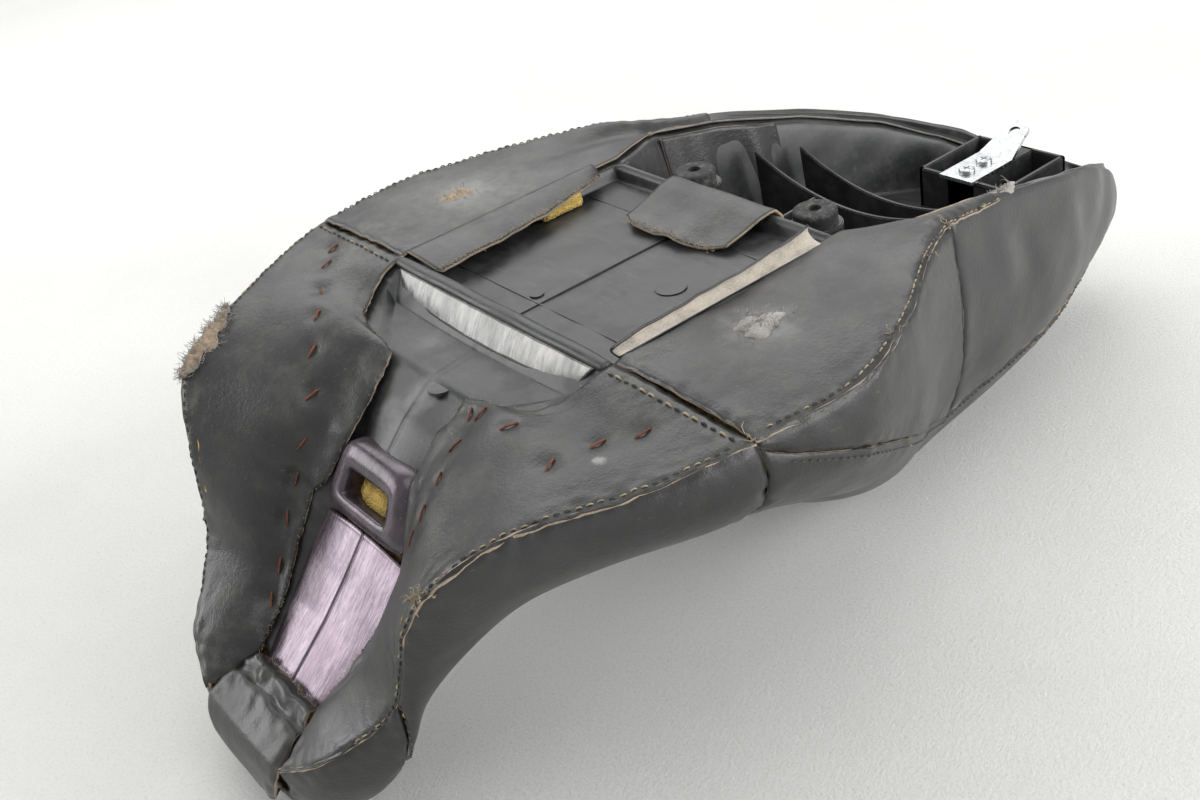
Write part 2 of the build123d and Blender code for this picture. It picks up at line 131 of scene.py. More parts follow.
# Seat pan, from the tail to the nose: x, height of its middle, half width and height of the
# floor's edge, half width at the top of the wall.
PAN_ROWS = np.array([
    (-478, -122, 20, -122, 28),
    (-440, -112, 40, -112, 54),
    (-400, -102, 58, -102, 72),
    (-350, -92, 72, -92, 90),
    (-290, -82, 82, -82, 104),
    (-235, -76, 88, -76, 112),
    (-195, -72, 90, -72, 114),
    (-158, -68, 88, -68, 94),
    (-153, 6, 88, 6, 94),
    (-151, 9, 88, 9, 94),
    (-149, 9, 88, 9, 94),
    (-147, 7, 89, 7, 95),
    (-145, 0, 90, 0, 95),
    (-45, 0, 92, 0, 97),
    (8, 0, 92, 0, 97),
    (10, 10, 92, 10, 97),
    (12, 12, 92, 12, 97),
    (14.5, 11, 92, 10.5, 97),
    (17, 5, 91, 6, 97),
    (29, -8, 83, -5, 92),
    (58, -10, 44, -11, 62),
    (80, -25, 36, -30, 56),
    (104, -48, 34, -60, 56),
    (122, -79, 33, -88, 54),
    (140, -99, 32, -108, 52),
    (157, -116, 31, -123, 48),
    (171, -128, 29, -134, 44),
    (184, -139, 25, -143, 37),
], dtype=float)


# ---------------------------------------------------------------- camera, light and floor

def make_camera():
    data = bpy.data.cameras.new("camera")
    data.lens = 42.0
    data.sensor_width = 36.0
    camera = bpy.data.objects.new("camera", data)
    right = (-0.7722, 0.6138, -0.1641)
    up = (-0.4414, -0.3325, 0.8335)
    back = (0.4570, 0.7161, 0.5277)
    turn = Matrix((right, up, back)).transposed()
    camera.matrix_world = Matrix.Translation((0.4757, 0.5874, 0.5538)) @ turn.to_4x4()
    bpy.context.scene.collection.objects.link(camera)
    bpy.context.scene.camera = camera


def area_light(name, place, size, power):
    """A soft light at a place in metres, turned to the seat."""
    data = bpy.data.lights.new(name, "AREA")
    data.shape = "RECTANGLE"
    data.size, data.size_y = size
    data.energy = power
    light = bpy.data.objects.new(name, data)
    back = np.array(place) - (0.0, 0.0, 0.1)
    back /= np.linalg.norm(back)
    right = np.cross((0.0, 0.0, 1.0), back)
    right /= np.linalg.norm(right)
    up = np.cross(back, right)
    light.matrix_world = Matrix.Translation(place) @ Matrix((right, up, back)).transposed().to_4x4()
    bpy.context.scene.collection.objects.link(light)


def make_light():
    world = bpy.data.worlds.new("studio")
    world.use_nodes = True
    background = world.node_tree.nodes["Background"]
    background.inputs["Color"].default_value = (0.97, 0.99, 0.97, 1.0)
    background.inputs["Strength"].default_value = 0.58
    bpy.context.scene.world = world
    area_light("key", (1.5, -1.9, 1.0), (1.7, 1.1), 27)
    area_light("back", (-0.9, -1.6, 1.7), (2.4, 1.4), 24)
    area_light("front", (-1.1, 1.7, 1.1), (1.9, 1.2), 38)
    area_light("top", (0.1, 0.4, 2.3), (1.8, 1.8), 15)
    area_light("low", (-0.3, 1.9, 0.32), (1.8, 0.5), 9)
    bpy.context.scene.view_settings.view_transform = "Standard"


# ---------------------------------------------------------------- materials

class Shader:
    """A procedural material on the Principled shader, with short names for its nodes."""

    def __init__(self, name, colour, roughness, **sockets):
        self.material = bpy.data.materials.new(name)
        self.material.use_nodes = True
        self.tree = self.material.node_tree
        self.bsdf = self.tree.nodes["Principled BSDF"]
        self.place = self.tree.nodes.new("ShaderNodeTexCoord").outputs["Object"]
        self.set("Base Color", (*colour, 1.0))
        self.set("Roughness", roughness)
        for socket, value in sockets.items():
            self.set(socket.replace("_", " "), value)

    def set(self, socket, value):
        if isinstance(value, bpy.types.NodeSocket):
            self.tree.links.new(value, self.bsdf.inputs[socket])
        else:
            self.bsdf.inputs[socket].default_value = value

    def node(self, kind, output, inputs, **options):
        node = self.tree.nodes.new("ShaderNode" + kind)
        for option, value in options.items():
            setattr(node, option, value)
        for key, value in inputs.items():
            if isinstance(value, bpy.types.NodeSocket):
                self.tree.links.new(value, node.inputs[key])
            else:
                node.inputs[key].default_value = value
        return node.outputs[output]

    def stretched(self, scale):
        return self.node("Mapping", 0, {"Vector": self.place, "Scale": scale})

    def noise(self, scale, detail=4.0, roughness=0.55, vector=None):
        inputs = {"Vector": vector or self.place, "Scale": scale, "Detail": detail}
        return self.node("TexNoise", 0, {**inputs, "Roughness": roughness})

    def cells(self, scale, feature="F1"):
        inputs = {"Vector": self.place, "Scale": scale}
        return self.node("TexVoronoi", "Distance", inputs, feature=feature)

    def spread(self, value, low, high, to_low=0.0, to_high=1.0):
        """Map low..high to to_low..to_high, held at the ends."""
        inputs = {0: value, 1: low, 2: high, 3: to_low, 4: to_high}
        return self.node("MapRange", 0, inputs, interpolation_type="SMOOTHSTEP")

    def times(self, a, b):
        return self.node("Math", 0, {0: a, 1: b}, operation="MULTIPLY")

    def plus(self, a, b):
        return self.node("Math", 0, {0: a, 1: b}, operation="ADD")

    def mix(self, share, a, b):
        a, b = [(*c, 1.0) if isinstance(c, tuple) else c for c in (a, b)]
        return self.node("Mix", 2, {0: share, 6: a, 7: b}, data_type="RGBA")

    def spot(self, middle, radius):
        """1 inside a ragged patch round a point given from the datum, 0 outside."""
        centre = tuple((np.array(middle) + DATUM) * MM)
        away = self.node("VectorMath", "Value", {0: self.place, 1: centre}, operation="DISTANCE")
        ragged = self.times(self.noise(120.0, 5.0), radius * MM * 1.3)
        return self.spread(self.plus(away, ragged), radius * MM * 1.7, radius * MM * 0.7)

    def marked(self, base, marks):
        """The base colour with ragged patches, each its middle, radius, strength and tint."""
        for middle, radius, strength, tint in marks:
            base = self.mix(self.times(self.spot(middle, radius), strength), base, tint)
        return base

    def up_facing(self):
        parts = self.tree.nodes.new("ShaderNodeSeparateXYZ")
        normal = self.tree.nodes.new("ShaderNodeNewGeometry").outputs["Normal"]
        self.tree.links.new(normal, parts.inputs[0])
        return parts.outputs[2]

    def bump(self, *layers):
        """Layers of (height, distance in millimetres), added up."""
        normal = None
        for height, depth in layers:
            inputs = {"Height": height, "Distance": depth * MM, "Strength": 1.0}
            if normal is not None:
                inputs["Normal"] = normal
            normal = self.node("Bump", 0, inputs)
        self.set("Normal", normal)


def vinyl_material(name, colour, dust, marks=()):
    """Grained black vinyl, with dust on what faces up and pale scuffs at the marks."""
    s = Shader(name, colour, 0.45, Specular_IOR_Level=0.5)
    grain = s.cells(1300.0, "SMOOTH_F1")
    coarse = s.cells(420.0, "SMOOTH_F1")
    cloud = s.noise(14.0, 6.0, 0.6)
    dim, bright = (tuple(k * c for c in colour) for k in (0.75, 1.35))
    shade = s.mix(s.spread(cloud, 0.3, 0.7), dim, bright)
    speck = s.spread(s.noise(900.0, 2.0), 0.66, 0.78)
    film = s.spread(s.noise(38.0, 7.0, 0.7), 0.42, 0.85)
    upward = s.spread(s.up_facing(), 0.2, 0.95)
    share = s.times(s.plus(s.times(film, 0.7), speck), dust)
    share = s.times(share, s.plus(s.times(upward, 0.8), 0.2))
    coloured = s.mix(share, shade, (0.30, 0.29, 0.27))
    scratches = s.spread(s.noise(60.0, 3.0, 0.6, s.stretched((1.0, 9.0, 9.0))), 0.66, 0.74)
    coloured = s.mix(s.times(scratches, 0.12 + dust * 0.3), coloured, (0.22, 0.21, 0.20))
    s.set("Base Color", s.marked(coloured, marks))
    sheen = s.spread(s.noise(22.0, 5.0), 0.3, 0.7, 0.30, 0.44)
    s.set("Roughness", s.plus(sheen, s.times(share, 0.5)))
    s.bump((s.noise(55.0, 4.0), 0.25), (coarse, 0.12), (grain, 0.12))
    return s.material


def fleece_material(name, colour):
    """Knitted backing: tan or grey fibres with dirt."""
    s = Shader(name, colour, 0.95, Sheen_Weight=0.35, Specular_IOR_Level=0.15)
    fibres = s.noise(1500.0, 6.0, 0.8)
    dirt = s.noise(70.0, 6.0, 0.7)
    dark = tuple(0.35 * c for c in colour)
    tone = s.mix(s.spread(dirt, 0.35, 0.75), colour, dark)
    s.set("Base Color", s.mix(s.spread(fibres, 0.4, 0.7), tone, tuple(min(1, 1.3 * c) for c in colour)))
    s.bump((s.noise(420.0, 4.0), 0.6), (fibres, 0.35))
    return s.material


def plastic_material(name, colour, scuff, roughness, marks):
    """Moulded black plastic with grey scuffs, dust and fine scratches."""
    s = Shader(name, colour, 0.4, Specular_IOR_Level=0.5)
    cloud = s.spread(s.noise(26.0, 8.0, 0.7), 0.42, 0.72)
    streaks = s.spread(s.noise(46.0, 6.0, 0.7, s.stretched((5.0, 1.0, 3.0))), 0.5, 0.74)
    fine = s.spread(s.noise(700.0, 2.0), 0.62, 0.76)
    share = s.plus(s.times(cloud, 0.5), s.times(streaks, 0.35))
    share = s.times(s.plus(share, s.times(fine, 0.35)), scuff)
    coloured = s.mix(share, colour, (0.27, 0.27, 0.265))
    s.set("Base Color", s.marked(coloured, marks))
    s.set("Roughness", s.plus(s.spread(cloud, 0.0, 1.0, *roughness), s.times(fine, 0.1)))
    s.bump((s.noise(180.0, 4.0), 0.10), (s.noise(1200.0, 2.0), 0.05))
    return s.material


def painted_reflection_gloss_material(name, colour, tint, metal):
    """Worn, glossy plastic of the ramp, the strip and the socket, with a painted reflection: a lighter,
    pink-tinted base colour in streaks, and some metallic so the reflection comes out pink.
    """
    s = Shader(name, colour, 0.2, Specular_IOR_Level=0.6, Metallic=metal)
    # Painted reflection: streaks where the base colour turns to the lighter tint.
    painted_reflection_streaks = s.spread(s.noise(30.0, 6.0, 0.65, s.stretched((1.0, 2.2, 1.0))), 0.35, 0.75)
    s.set("Base Color", s.mix(painted_reflection_streaks, colour, tint))
    lines = s.noise(90.0, 5.0, 0.7, s.stretched((1.0, 8.0, 1.0)))
    s.set("Roughness", s.spread(lines, 0.3, 0.7, 0.16, 0.36))
    s.bump((s.noise(24.0, 4.0), 0.5), (s.noise(300.0, 3.0), 0.05))
    return s.material


def foam_material():
    s = Shader("foam", (0.62, 0.44, 0.13), 0.95, Specular_IOR_Level=0.1)
    pores = s.cells(900.0)
    stain = s.spread(s.noise(60.0, 6.0, 0.7), 0.35, 0.75)
    tone = s.mix(stain, (0.66, 0.48, 0.15), (0.30, 0.17, 0.05))
    # The dark dots at the cell centres are painted shade inside the open pores.
    s.set("Base Color", s.mix(s.spread(pores, 0.0, 0.45), (0.24, 0.14, 0.05), tone))
    s.bump((pores, 0.7), (s.noise(200.0, 4.0), 0.8))
    return s.material


def rubber_material():
    s = Shader("rubber", (0.02, 0.02, 0.02), 0.75)
    dust = s.spread(s.noise(240.0, 6.0, 0.7), 0.45, 0.75)
    s.set("Base Color", s.mix(s.times(dust, 0.5), (0.02, 0.02, 0.021), (0.22, 0.21, 0.19)))
    s.bump((s.noise(900.0, 3.0), 0.1))
    return s.material


def zinc_material(name, roughness):
    s = Shader(name, (0.6, 0.61, 0.62), roughness, Metallic=1.0)
    spangle = s.spread(s.noise(220.0, 5.0, 0.7), 0.3, 0.7)
    s.set("Base Color", s.mix(spangle, (0.42, 0.43, 0.44), (0.64, 0.65, 0.66)))
    s.set("Roughness", s.spread(s.noise(480.0, 4.0), 0.3, 0.7, roughness - 0.08, roughness + 0.12))
    s.bump((s.noise(900.0, 3.0), 0.04))
    return s.material


def rust_material():
    s = Shader("rusty_steel", (0.20, 0.07, 0.03), 0.85, Metallic=0.3)
    patches = s.spread(s.noise(500.0, 6.0, 0.7), 0.35, 0.65)
    s.set("Base Color", s.mix(patches, (0.24, 0.075, 0.03), (0.10, 0.05, 0.04)))
    s.bump((s.noise(1500.0, 4.0), 0.12))
    return s.material


def thread_material(name, colour):
    s = Shader(name, colour, 0.8, Sheen_Weight=0.3)
    ply = s.noise(1800.0, 3.0, 0.6)
    dirt = s.spread(s.noise(120.0, 5.0), 0.35, 0.7)
    s.set("Base Color", s.mix(dirt, colour, tuple(0.45 * c for c in colour)))
    s.bump((ply, 0.15))
    return s.material


def floor_material():
    """A pale studio floor with a fine speckle."""
    s = Shader("floor", (0.8, 0.8, 0.79), 0.85, Specular_IOR_Level=0.2)
    speck = s.spread(s.noise(520.0, 6.0, 0.8), 0.50, 0.70)
    cloud = s.spread(s.noise(3.0, 5.0), 0.3, 0.7)
    tone = s.mix(cloud, (0.82, 0.82, 0.80), (0.76, 0.76, 0.74))
    s.set("Base Color", s.mix(s.times(speck, 0.45), tone, (0.42, 0.40, 0.37)))
    s.bump((s.noise(420.0, 6.0, 0.8), 1.2))
    return s.material


# ---------------------------------------------------------------- shape helpers

def slopes(values):
    step = np.diff(values)
    inner = [2 * a * b / (a + b) if a * b > 0 else 0.0 for a, b in zip(step, step[1:])]
    return np.array([step[0], *inner, step[-1]])


def blend(values, u):
    """Values at rows u, by the CAD's curve, which never overshoots."""
    i = np.clip(np.floor(u).astype(int), 0, len(values) - 2)
    f = u - i
    m = slopes(values)
    return (
        (2 * f**3 - 3 * f**2 + 1) * values[i]
        + (f**3 - 2 * f**2 + f) * m[i]
        + (3 * f**2 - 2 * f**3) * values[i + 1]
        + (f**3 - f**2) * m[i + 1]
    )


def surface(x, y, z):
    """A grid of points from coordinates that are broadcast together."""
    return np.stack(np.broadcast_arrays(x, y, z), axis=-1)


def circle(count):
    """Angles round a full turn."""
    return np.linspace(0, 2 * np.pi, count, endpoint=False)


def smooth_rows(grid, times, columns=slice(None)):
    """Even a grid out from row to row, its first and last rows held."""
    for _ in range(times):
        around = grid[:-2, columns] + grid[2:, columns]
        grid[1:-1, columns] = 0.5 * grid[1:-1, columns] + 0.25 * around


def skin_point(u, t, side, inset=0.0):
    """Points of the outer skin: t is 0 at the rim seam and 1 at the saddle's middle."""
    u, t, side = np.broadcast_arrays(np.asarray(u, float), t, side)
    rim_x, half, rim_z, low_x, low_z, square, swell = (blend(SKIN[:, k], u) for k in range(7))
    across = np.maximum(0.0, np.cos(t * np.pi / 2)) ** (2 / square)
    down = np.sin(t * np.pi / 2) ** (2 / square)
    out = swell * np.sin(np.pi * np.minimum(1.0, 1.2 * down)) - inset
    wide = np.maximum(0.0, half * across + out * across**0.3)
    x = rim_x + (low_x - rim_x) * down
    rest = REST_Z + inset
    rise = rim_z + (low_z + inset - rim_z) * down - rest
    z = rest + (rise + np.hypot(rise, REST_BLEND)) / 2
    return np.stack([x, side * wide, z], axis=-1)


def boxing_depth(u):
    """Height of the second seam, which opens at the cross seam."""
    return SEAM_GAP + 0.36 * np.clip((CROSS_SEAM - u) / 4.0, 0.0, 1.0) ** 0.7


def facing_edge(u, side):
    x, y, z = (np.interp(u, FACING_EDGE[:, 0], FACING_EDGE[:, k]) for k in (1, 2, 3))
    return np.stack([x, side * y, z], axis=-1)


def facing_point(u, f, side):
    """Points of the underside facing: f is 0 at the free edge and 1 at the rim seam."""
    edge = facing_edge(u, side)
    rim = skin_point(u, 0.0, side)
    return edge + (rim - edge) * np.asarray(f)[..., None]


def waves(points, size, seed, count=16):
    """Smooth unevenness of about +-1, with features of the given size in millimetres."""
    draw = np.random.default_rng(seed)
    way = draw.normal(size=(count, 3))
    way /= np.linalg.norm(way, axis=1, keepdims=True)
    way *= (2 * np.pi / size) * draw.uniform(0.6, 1.5, (count, 1))
    phase = draw.uniform(0, 2 * np.pi, count)
    return np.sin(points @ way.T + phase).sum(axis=-1) / math.sqrt(count)


def line_waves(x, size, seed):
    return waves(surface(x, 0 * x, 0 * x), size, seed)


def grid_normals(grid, outward):
    """Unit normals of a grid of points, turned to the outward side."""
    normal = np.cross(np.gradient(grid, axis=0), np.gradient(grid, axis=1))
    normal /= np.linalg.norm(normal, axis=-1, keepdims=True) + 1e-9
    if (normal * (outward if np.ndim(outward) > 1 else np.array(outward, float))).sum() < 0:
        normal = -normal
    return normal


def run_lengths(grid, axis):
    """Distance run along the grid's lines in the given direction."""
    step = np.linalg.norm(np.diff(grid, axis=axis), axis=-1)
    run = np.cumsum(step, axis=axis)
    pad = [(0, 0), (0, 0)]
    pad[axis] = (1, 0)
    return np.pad(run, pad)


def seam_distance(grid, sides):
    """Distance to the nearest of the named borders: start and end of rows and columns."""
    away = np.full(grid.shape[:2], 1e3)
    for axis, (start, end) in ((0, ("u0", "u1")), (1, ("v0", "v1"))):
        run = run_lengths(grid, axis)
        total = run.max(axis=axis, keepdims=True)
        if start in sides:
            away = np.minimum(away, run)
        if end in sides:
            away = np.minimum(away, total - run)
    return away


def seam_roll(grid, sides, depth=1.5, reach=2.6, pucker=0.4, seed=1):
    """How a panel rolls down into its seams, with small puckers across them."""
    away = seam_distance(grid, sides)
    roll = -depth * np.exp(-((away / reach) ** 2))
    return roll + pucker * waves(grid, 11.0, seed) * np.exp(-away / 9.0)


def dents(grid, spots, depth, radius):
    height = np.zeros(grid.shape[:2])
    for spot in spots:
        away = np.linalg.norm(grid - np.array(spot, float), axis=-1)
        height -= depth * np.exp(-((away / radius) ** 2))
    return height


def fold(grid, start, end, height, width):
    """A ridge (or with a negative height a crease) along a line, fading at its ends."""
    a, b = np.array(start, float), np.array(end, float)
    along = np.clip(((grid - a) @ (b - a)) / ((b - a) @ (b - a)), 0.0, 1.0)
    away = np.linalg.norm(grid - a - along[..., None] * (b - a), axis=-1)
    return height * np.exp(-((away / width) ** 2)) * np.sin(np.pi * np.clip(along, 0.12, 0.88))


def add_object(mesh):
    obj = bpy.data.objects.new(mesh.name, mesh)
    bpy.context.scene.collection.objects.link(obj)
    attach(obj, "root")
    return obj


def new_object(name, points, faces, materials, material_index=None):
    """A smooth mesh from points in millimetres from the datum, its normals pointing out."""
    mesh = bpy.data.meshes.new(name)
    flat = (np.asarray(points).reshape(-1, 3) + DATUM) * MM
    mesh.from_pydata(flat.tolist(), [], faces)
    for material in materials:
        mesh.materials.append(material)
    if material_index is not None:
        mesh.polygons.foreach_set("material_index", np.asarray(material_index, dtype=np.int32))
    mesh.polygons.foreach_set("use_smooth", [True] * len(mesh.polygons))
    mesh.validate()
    work = bmesh.new()
    work.from_mesh(mesh)
    bmesh.ops.recalc_face_normals(work, faces=work.faces)
    work.to_mesh(mesh)
    work.free()
    return add_object(mesh)


def quads(rows, columns, start=0, flip=False):
    index = np.arange(rows * columns).reshape(rows, columns) + start
    corner = [index[:-1, :-1], index[1:, :-1], index[1:, 1:], index[:-1, 1:]]
    if flip:
        corner = corner[::-1]
    return np.stack(corner, axis=-1).reshape(-1, 4)


def sheet_object(name, grid, normal, materials, thickness=VINYL):
    """A closed sheet: the outer face is the grid, the back and the cut edges are fleece."""
    rows, columns = grid.shape[:2]
    outer = grid.reshape(-1, 3)
    inner = (grid - normal * thickness).reshape(-1, 3)
    probe = np.cross(grid[1:, :-1] - grid[:-1, :-1], grid[:-1, 1:] - grid[:-1, :-1])
    flip = (probe * normal[:-1, :-1]).sum() < 0
    front = quads(rows, columns, 0, flip)
    back = quads(rows, columns, rows * columns, not flip)
    index = np.arange(rows * columns).reshape(rows, columns)
    ring = np.concatenate([index[0, :-1], index[:-1, -1], index[-1, :0:-1], index[:0:-1, 0]])
    after = np.roll(ring, -1)
    shift = rows * columns
    rim = np.stack([ring, after, after + shift, ring + shift], axis=-1)
    if flip:
        rim = rim[:, ::-1]
    faces = np.concatenate([front, back, rim])
    which = [0] * len(front) + [1] * (len(back) + len(rim))
    return new_object(name, np.concatenate([outer, inner]), faces.tolist(), materials, which)


def ring_faces(count, size, start=0, closed=False):
    """Faces between rings of points, capped at both ends or closed on themselves."""
    faces = []
    for i in range(count if closed else count - 1):
        here = start + i * size
        after = start + (i + 1) % count * size
        for j in range(size):
            k = (j + 1) % size
            faces.append((here + j, here + k, after + k, after + j))
    if not closed:
        last = start + (count - 1) * size
        faces.append(tuple(range(start, start + size))[::-1])
        faces.append(tuple(range(last, last + size)))
    return faces


TUBE_HELPER = np.array([0.31, 0.17, 0.94])  # a direction that no path runs along


def tube_mesh(paths, radius, sides):
    """Vertices and faces of round tubes along paths, with closed ends."""
    points, faces = [], []
    turn = np.arange(sides) * 2 * np.pi / sides
    for path in paths:
        path = np.asarray(path, float)
        way = np.gradient(path, axis=0)
        way /= np.linalg.norm(way, axis=1, keepdims=True) + 1e-9
        first = np.cross(way, TUBE_HELPER)
        first /= np.linalg.norm(first, axis=1, keepdims=True) + 1e-9
        second = np.cross(way, first)
        taper = np.ones(len(path))
        taper[0] = taper[-1] = 0.55
        ring = np.cos(turn)[None, :, None] * first[:, None] + np.sin(turn)[None, :, None] * second[:, None]
        start = sum(len(p) for p in points)
        points.append((path[:, None] + ring * (radius * taper)[:, None, None]).reshape(-1, 3))
        faces += ring_faces(len(path), sides, start)
    return np.concatenate(points), faces


def tubes(name, paths, radius, material, sides=6):
    points, faces = tube_mesh(paths, radius, sides)
    return new_object(name, points, faces, [material])


def loft_object(name, rings, material, closed=False):
    """A body lofted through closed rings of equal length."""
    rings = np.asarray(rings, float)
    faces = ring_faces(*rings.shape[:2], closed=closed)
    return new_object(name, rings, faces, [material])


def solids_object(name, parts, material, bevel):
    """Bevelled prisms, each given as its bottom outline and a thickness vector, as one piece."""
    work = bmesh.new()
    for outline, depth in parts:
        base = [work.verts.new(tuple((np.array(p, float) + DATUM) * MM)) for p in outline]
        face = work.faces.new(base)
        moved = bmesh.ops.extrude_face_region(work, geom=[face])
        top = [v for v in moved["geom"] if isinstance(v, bmesh.types.BMVert)]
        bmesh.ops.translate(work, verts=top, vec=tuple(np.array(depth, float) * MM))
    bmesh.ops.recalc_face_normals(work, faces=work.faces)
    bmesh.ops.bevel(
        work, geom=list(work.edges), offset=bevel * MM, segments=2, affect="EDGES", clamp_overlap=True
    )
    mesh = bpy.data.meshes.new(name)
    work.to_mesh(mesh)
    work.free()
    mesh.materials.append(material)
    return add_object(mesh)


def box_part(low, high):
    (x0, y0, z0), (x1, y1, z1) = low, high
    return [(x0, y0, z0), (x1, y0, z0), (x1, y1, z0), (x0, y1, z0)], (0, 0, z1 - z0)


# ---------------------------------------------------------------- the cover


def rows_between(start, end, count):
    return np.linspace(start + NUDGE, end - NUDGE, count)[:, None]


def cover_sheet(name, node, grid, outward, height, skins):
    """One panel of the cover, raised by height along its normal; the CAD node it replaces is hidden."""
    normal = grid_normals(grid, outward)
    grid = grid + normal * height[..., None]
    normal = grid_normals(grid, outward)
    obj = sheet_object(name, grid, normal, skins)
    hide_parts(node)
    return obj, grid, normal


def outward_from_core(grid):
    core = np.stack([grid[..., 0], 0 * grid[..., 1], np.full(grid.shape[:2], -70.0)], axis=-1)
    return grid - core


def saddle_grid(start, end, rows, columns, boxed=False):
    """The saddle from one rim seam to the other, or between the second seams if boxed."""
    u = rows_between(start, end, rows)
    v = np.linspace(-1, 1, 2 * columns + 1)[None, :]
    edge = (boxing_depth(u) if boxed else 0 * u) + SEAM_SHUT
    t = edge + (1 - edge) * (1 - np.abs(v))
    return skin_point(u, t, np.sign(v))


# Lines of points and normals beside the seams, kept by the panels for the stitches.
SEAMS = {}


def make_saddle(skins):
    grid = saddle_grid(CROSS_SEAM, NOSE_SEAM, 110, 95)
    height = seam_roll(grid, ALL_SEAMS, seed=3, pucker=0.6)
    height += 0.5 * waves(grid, 90.0, 4)
    for side in (LEFT, RIGHT):
        height += fold(grid, (150, side * 128, -40), (60, side * 196, -35), 1.4, 9.0)
        height += fold(grid, (160, side * 118, -75), (100, side * 160, -62), -1.2, 8.0)
    outward = outward_from_core(grid)
    _, grid, normal = cover_sheet("rider_saddle", "rider_saddle_panel", grid, outward, height, skins)
    SEAMS["nose"] = (grid[-3], normal[-3])
    grid = saddle_grid(NOSE_SEAM, NOSE_END, 46, 70)
    height = seam_roll(grid, ALL_SEAMS, seed=5, pucker=0.7)
    height += fold(grid, (200, 70, -150), (216, 20, -188), -1.5, 5.0)
    height += fold(grid, (196, 84, -130), (214, 52, -172), 1.2, 5.0)
    cover_sheet("nose_skirt", "nose_skirt_panel", grid, outward_from_core(grid), height, skins)


def make_passenger_pad(skins):
    grid = saddle_grid(TAIL_TIP, CROSS_SEAM, 190, 80, boxed=True)
    height = seam_roll(grid, ("u1", "v0", "v1"), seed=6, pucker=0.6) + 0.6 * waves(grid, 110.0, 7)
    outward = outward_from_core(grid)
    _, grid, normal = cover_sheet("passenger_top", "passenger_top_panel", grid, outward, height, skins)
    for side, column in ((LEFT, 2), (RIGHT, -3)):
        SEAMS["second", side] = (grid[60:-2, column], normal[60:-2, column])
    for name, side in SIDES:
        u = rows_between(TAIL_CREASE, CROSS_SEAM, 90)
        share = np.linspace(0, 1, 34)[None, :]
        t = SEAM_SHUT + (boxing_depth(u) - SEAM_SHUT) * share
        grid = skin_point(u, t, side)
        height = seam_roll(grid, ALL_SEAMS, seed=8, pucker=0.5)
        height += fold(grid, (-20, side * 206, -8), (-150, side * 160, -28), 1.6, 9.0)
        height += fold(grid, (-60, side * 206, -30), (-170, side * 150, -60), -1.3, 8.0)
        cover_sheet(
            f"boxing_{name}", f"passenger_boxing_{name}", grid, (0, side, 0), height, skins
        )


def make_tail(skins):
    """The tail: a hem inside the rim, the rim, and the wall down to the second seam."""
    rows = np.linspace(TAIL_TIP, TAIL_CREASE - NUDGE, 90)
    u = np.concatenate([rows[::-1], rows])[:, None]
    side = np.concatenate([-np.ones(90), np.ones(90)])[:, None]
    hem = np.linspace(0.0, 0.96, 12)[None, :]
    wall = np.linspace(0.012, 1.0, 30)[None, :]
    inner = facing_point(np.broadcast_to(u, (180, 12)), np.broadcast_to(hem, (180, 12)), side)
    outer = skin_point(u, boxing_depth(u) * wall, side)
    grid = np.concatenate([inner, outer], axis=1)
    for _ in range(3):
        grid[:, 1:-1] = 0.5 * grid[:, 1:-1] + 0.25 * (grid[:, :-2] + grid[:, 2:])
        grid[85:95] = 0.5 * grid[85:95] + 0.25 * (grid[84:94] + grid[86:96])
    height = seam_roll(grid, ("u0", "u1", "v1"), seed=9, pucker=0.5) + 0.5 * waves(grid, 60.0, 10)
    for side in (LEFT, RIGHT):
        height += fold(grid, (-235, side * 132, -8), (-262, side * 128, -70), 1.8, 9.0)
        height += fold(grid, (-262, side * 127, -12), (-288, side * 122, -80), -1.3, 8.0)
        height += fold(grid, (-330, side * 115, -24), (-345, side * 112, -95), 1.2, 11.0)
    cover_sheet("tail", "tail_panel", grid, outward_from_core(grid), height, skins)


def nearest_spots(grid, spots):
    flat = grid.reshape(-1, 3)
    found = []
    for x, y in spots:
        k = int(np.argmin((flat[:, 0] - x) ** 2 + (flat[:, 1] - y) ** 2))
        found.append(divmod(k, grid.shape[1]))
    return found


STAPLE_HALF = 4.8
STAPLE_LEG = 2.2

# Where the staples sit: x, and the distance from the middle.
STAPLES_LEFT = [(25, 159), (38, 148), (55, 124), (70, 101), (87, 81), (101, 65), (117, 59), (128, 60)]
STAPLES_LEFT += [(141, 58), (156, 52), (168, 46)]
STAPLES_RIGHT = [(36, 151), (52, 137), (66, 87), (75, 130), (65, 58), (68, 48), (82, 59), (101, 70)]
STAPLES_RIGHT += [(115, 75), (123, 71)]


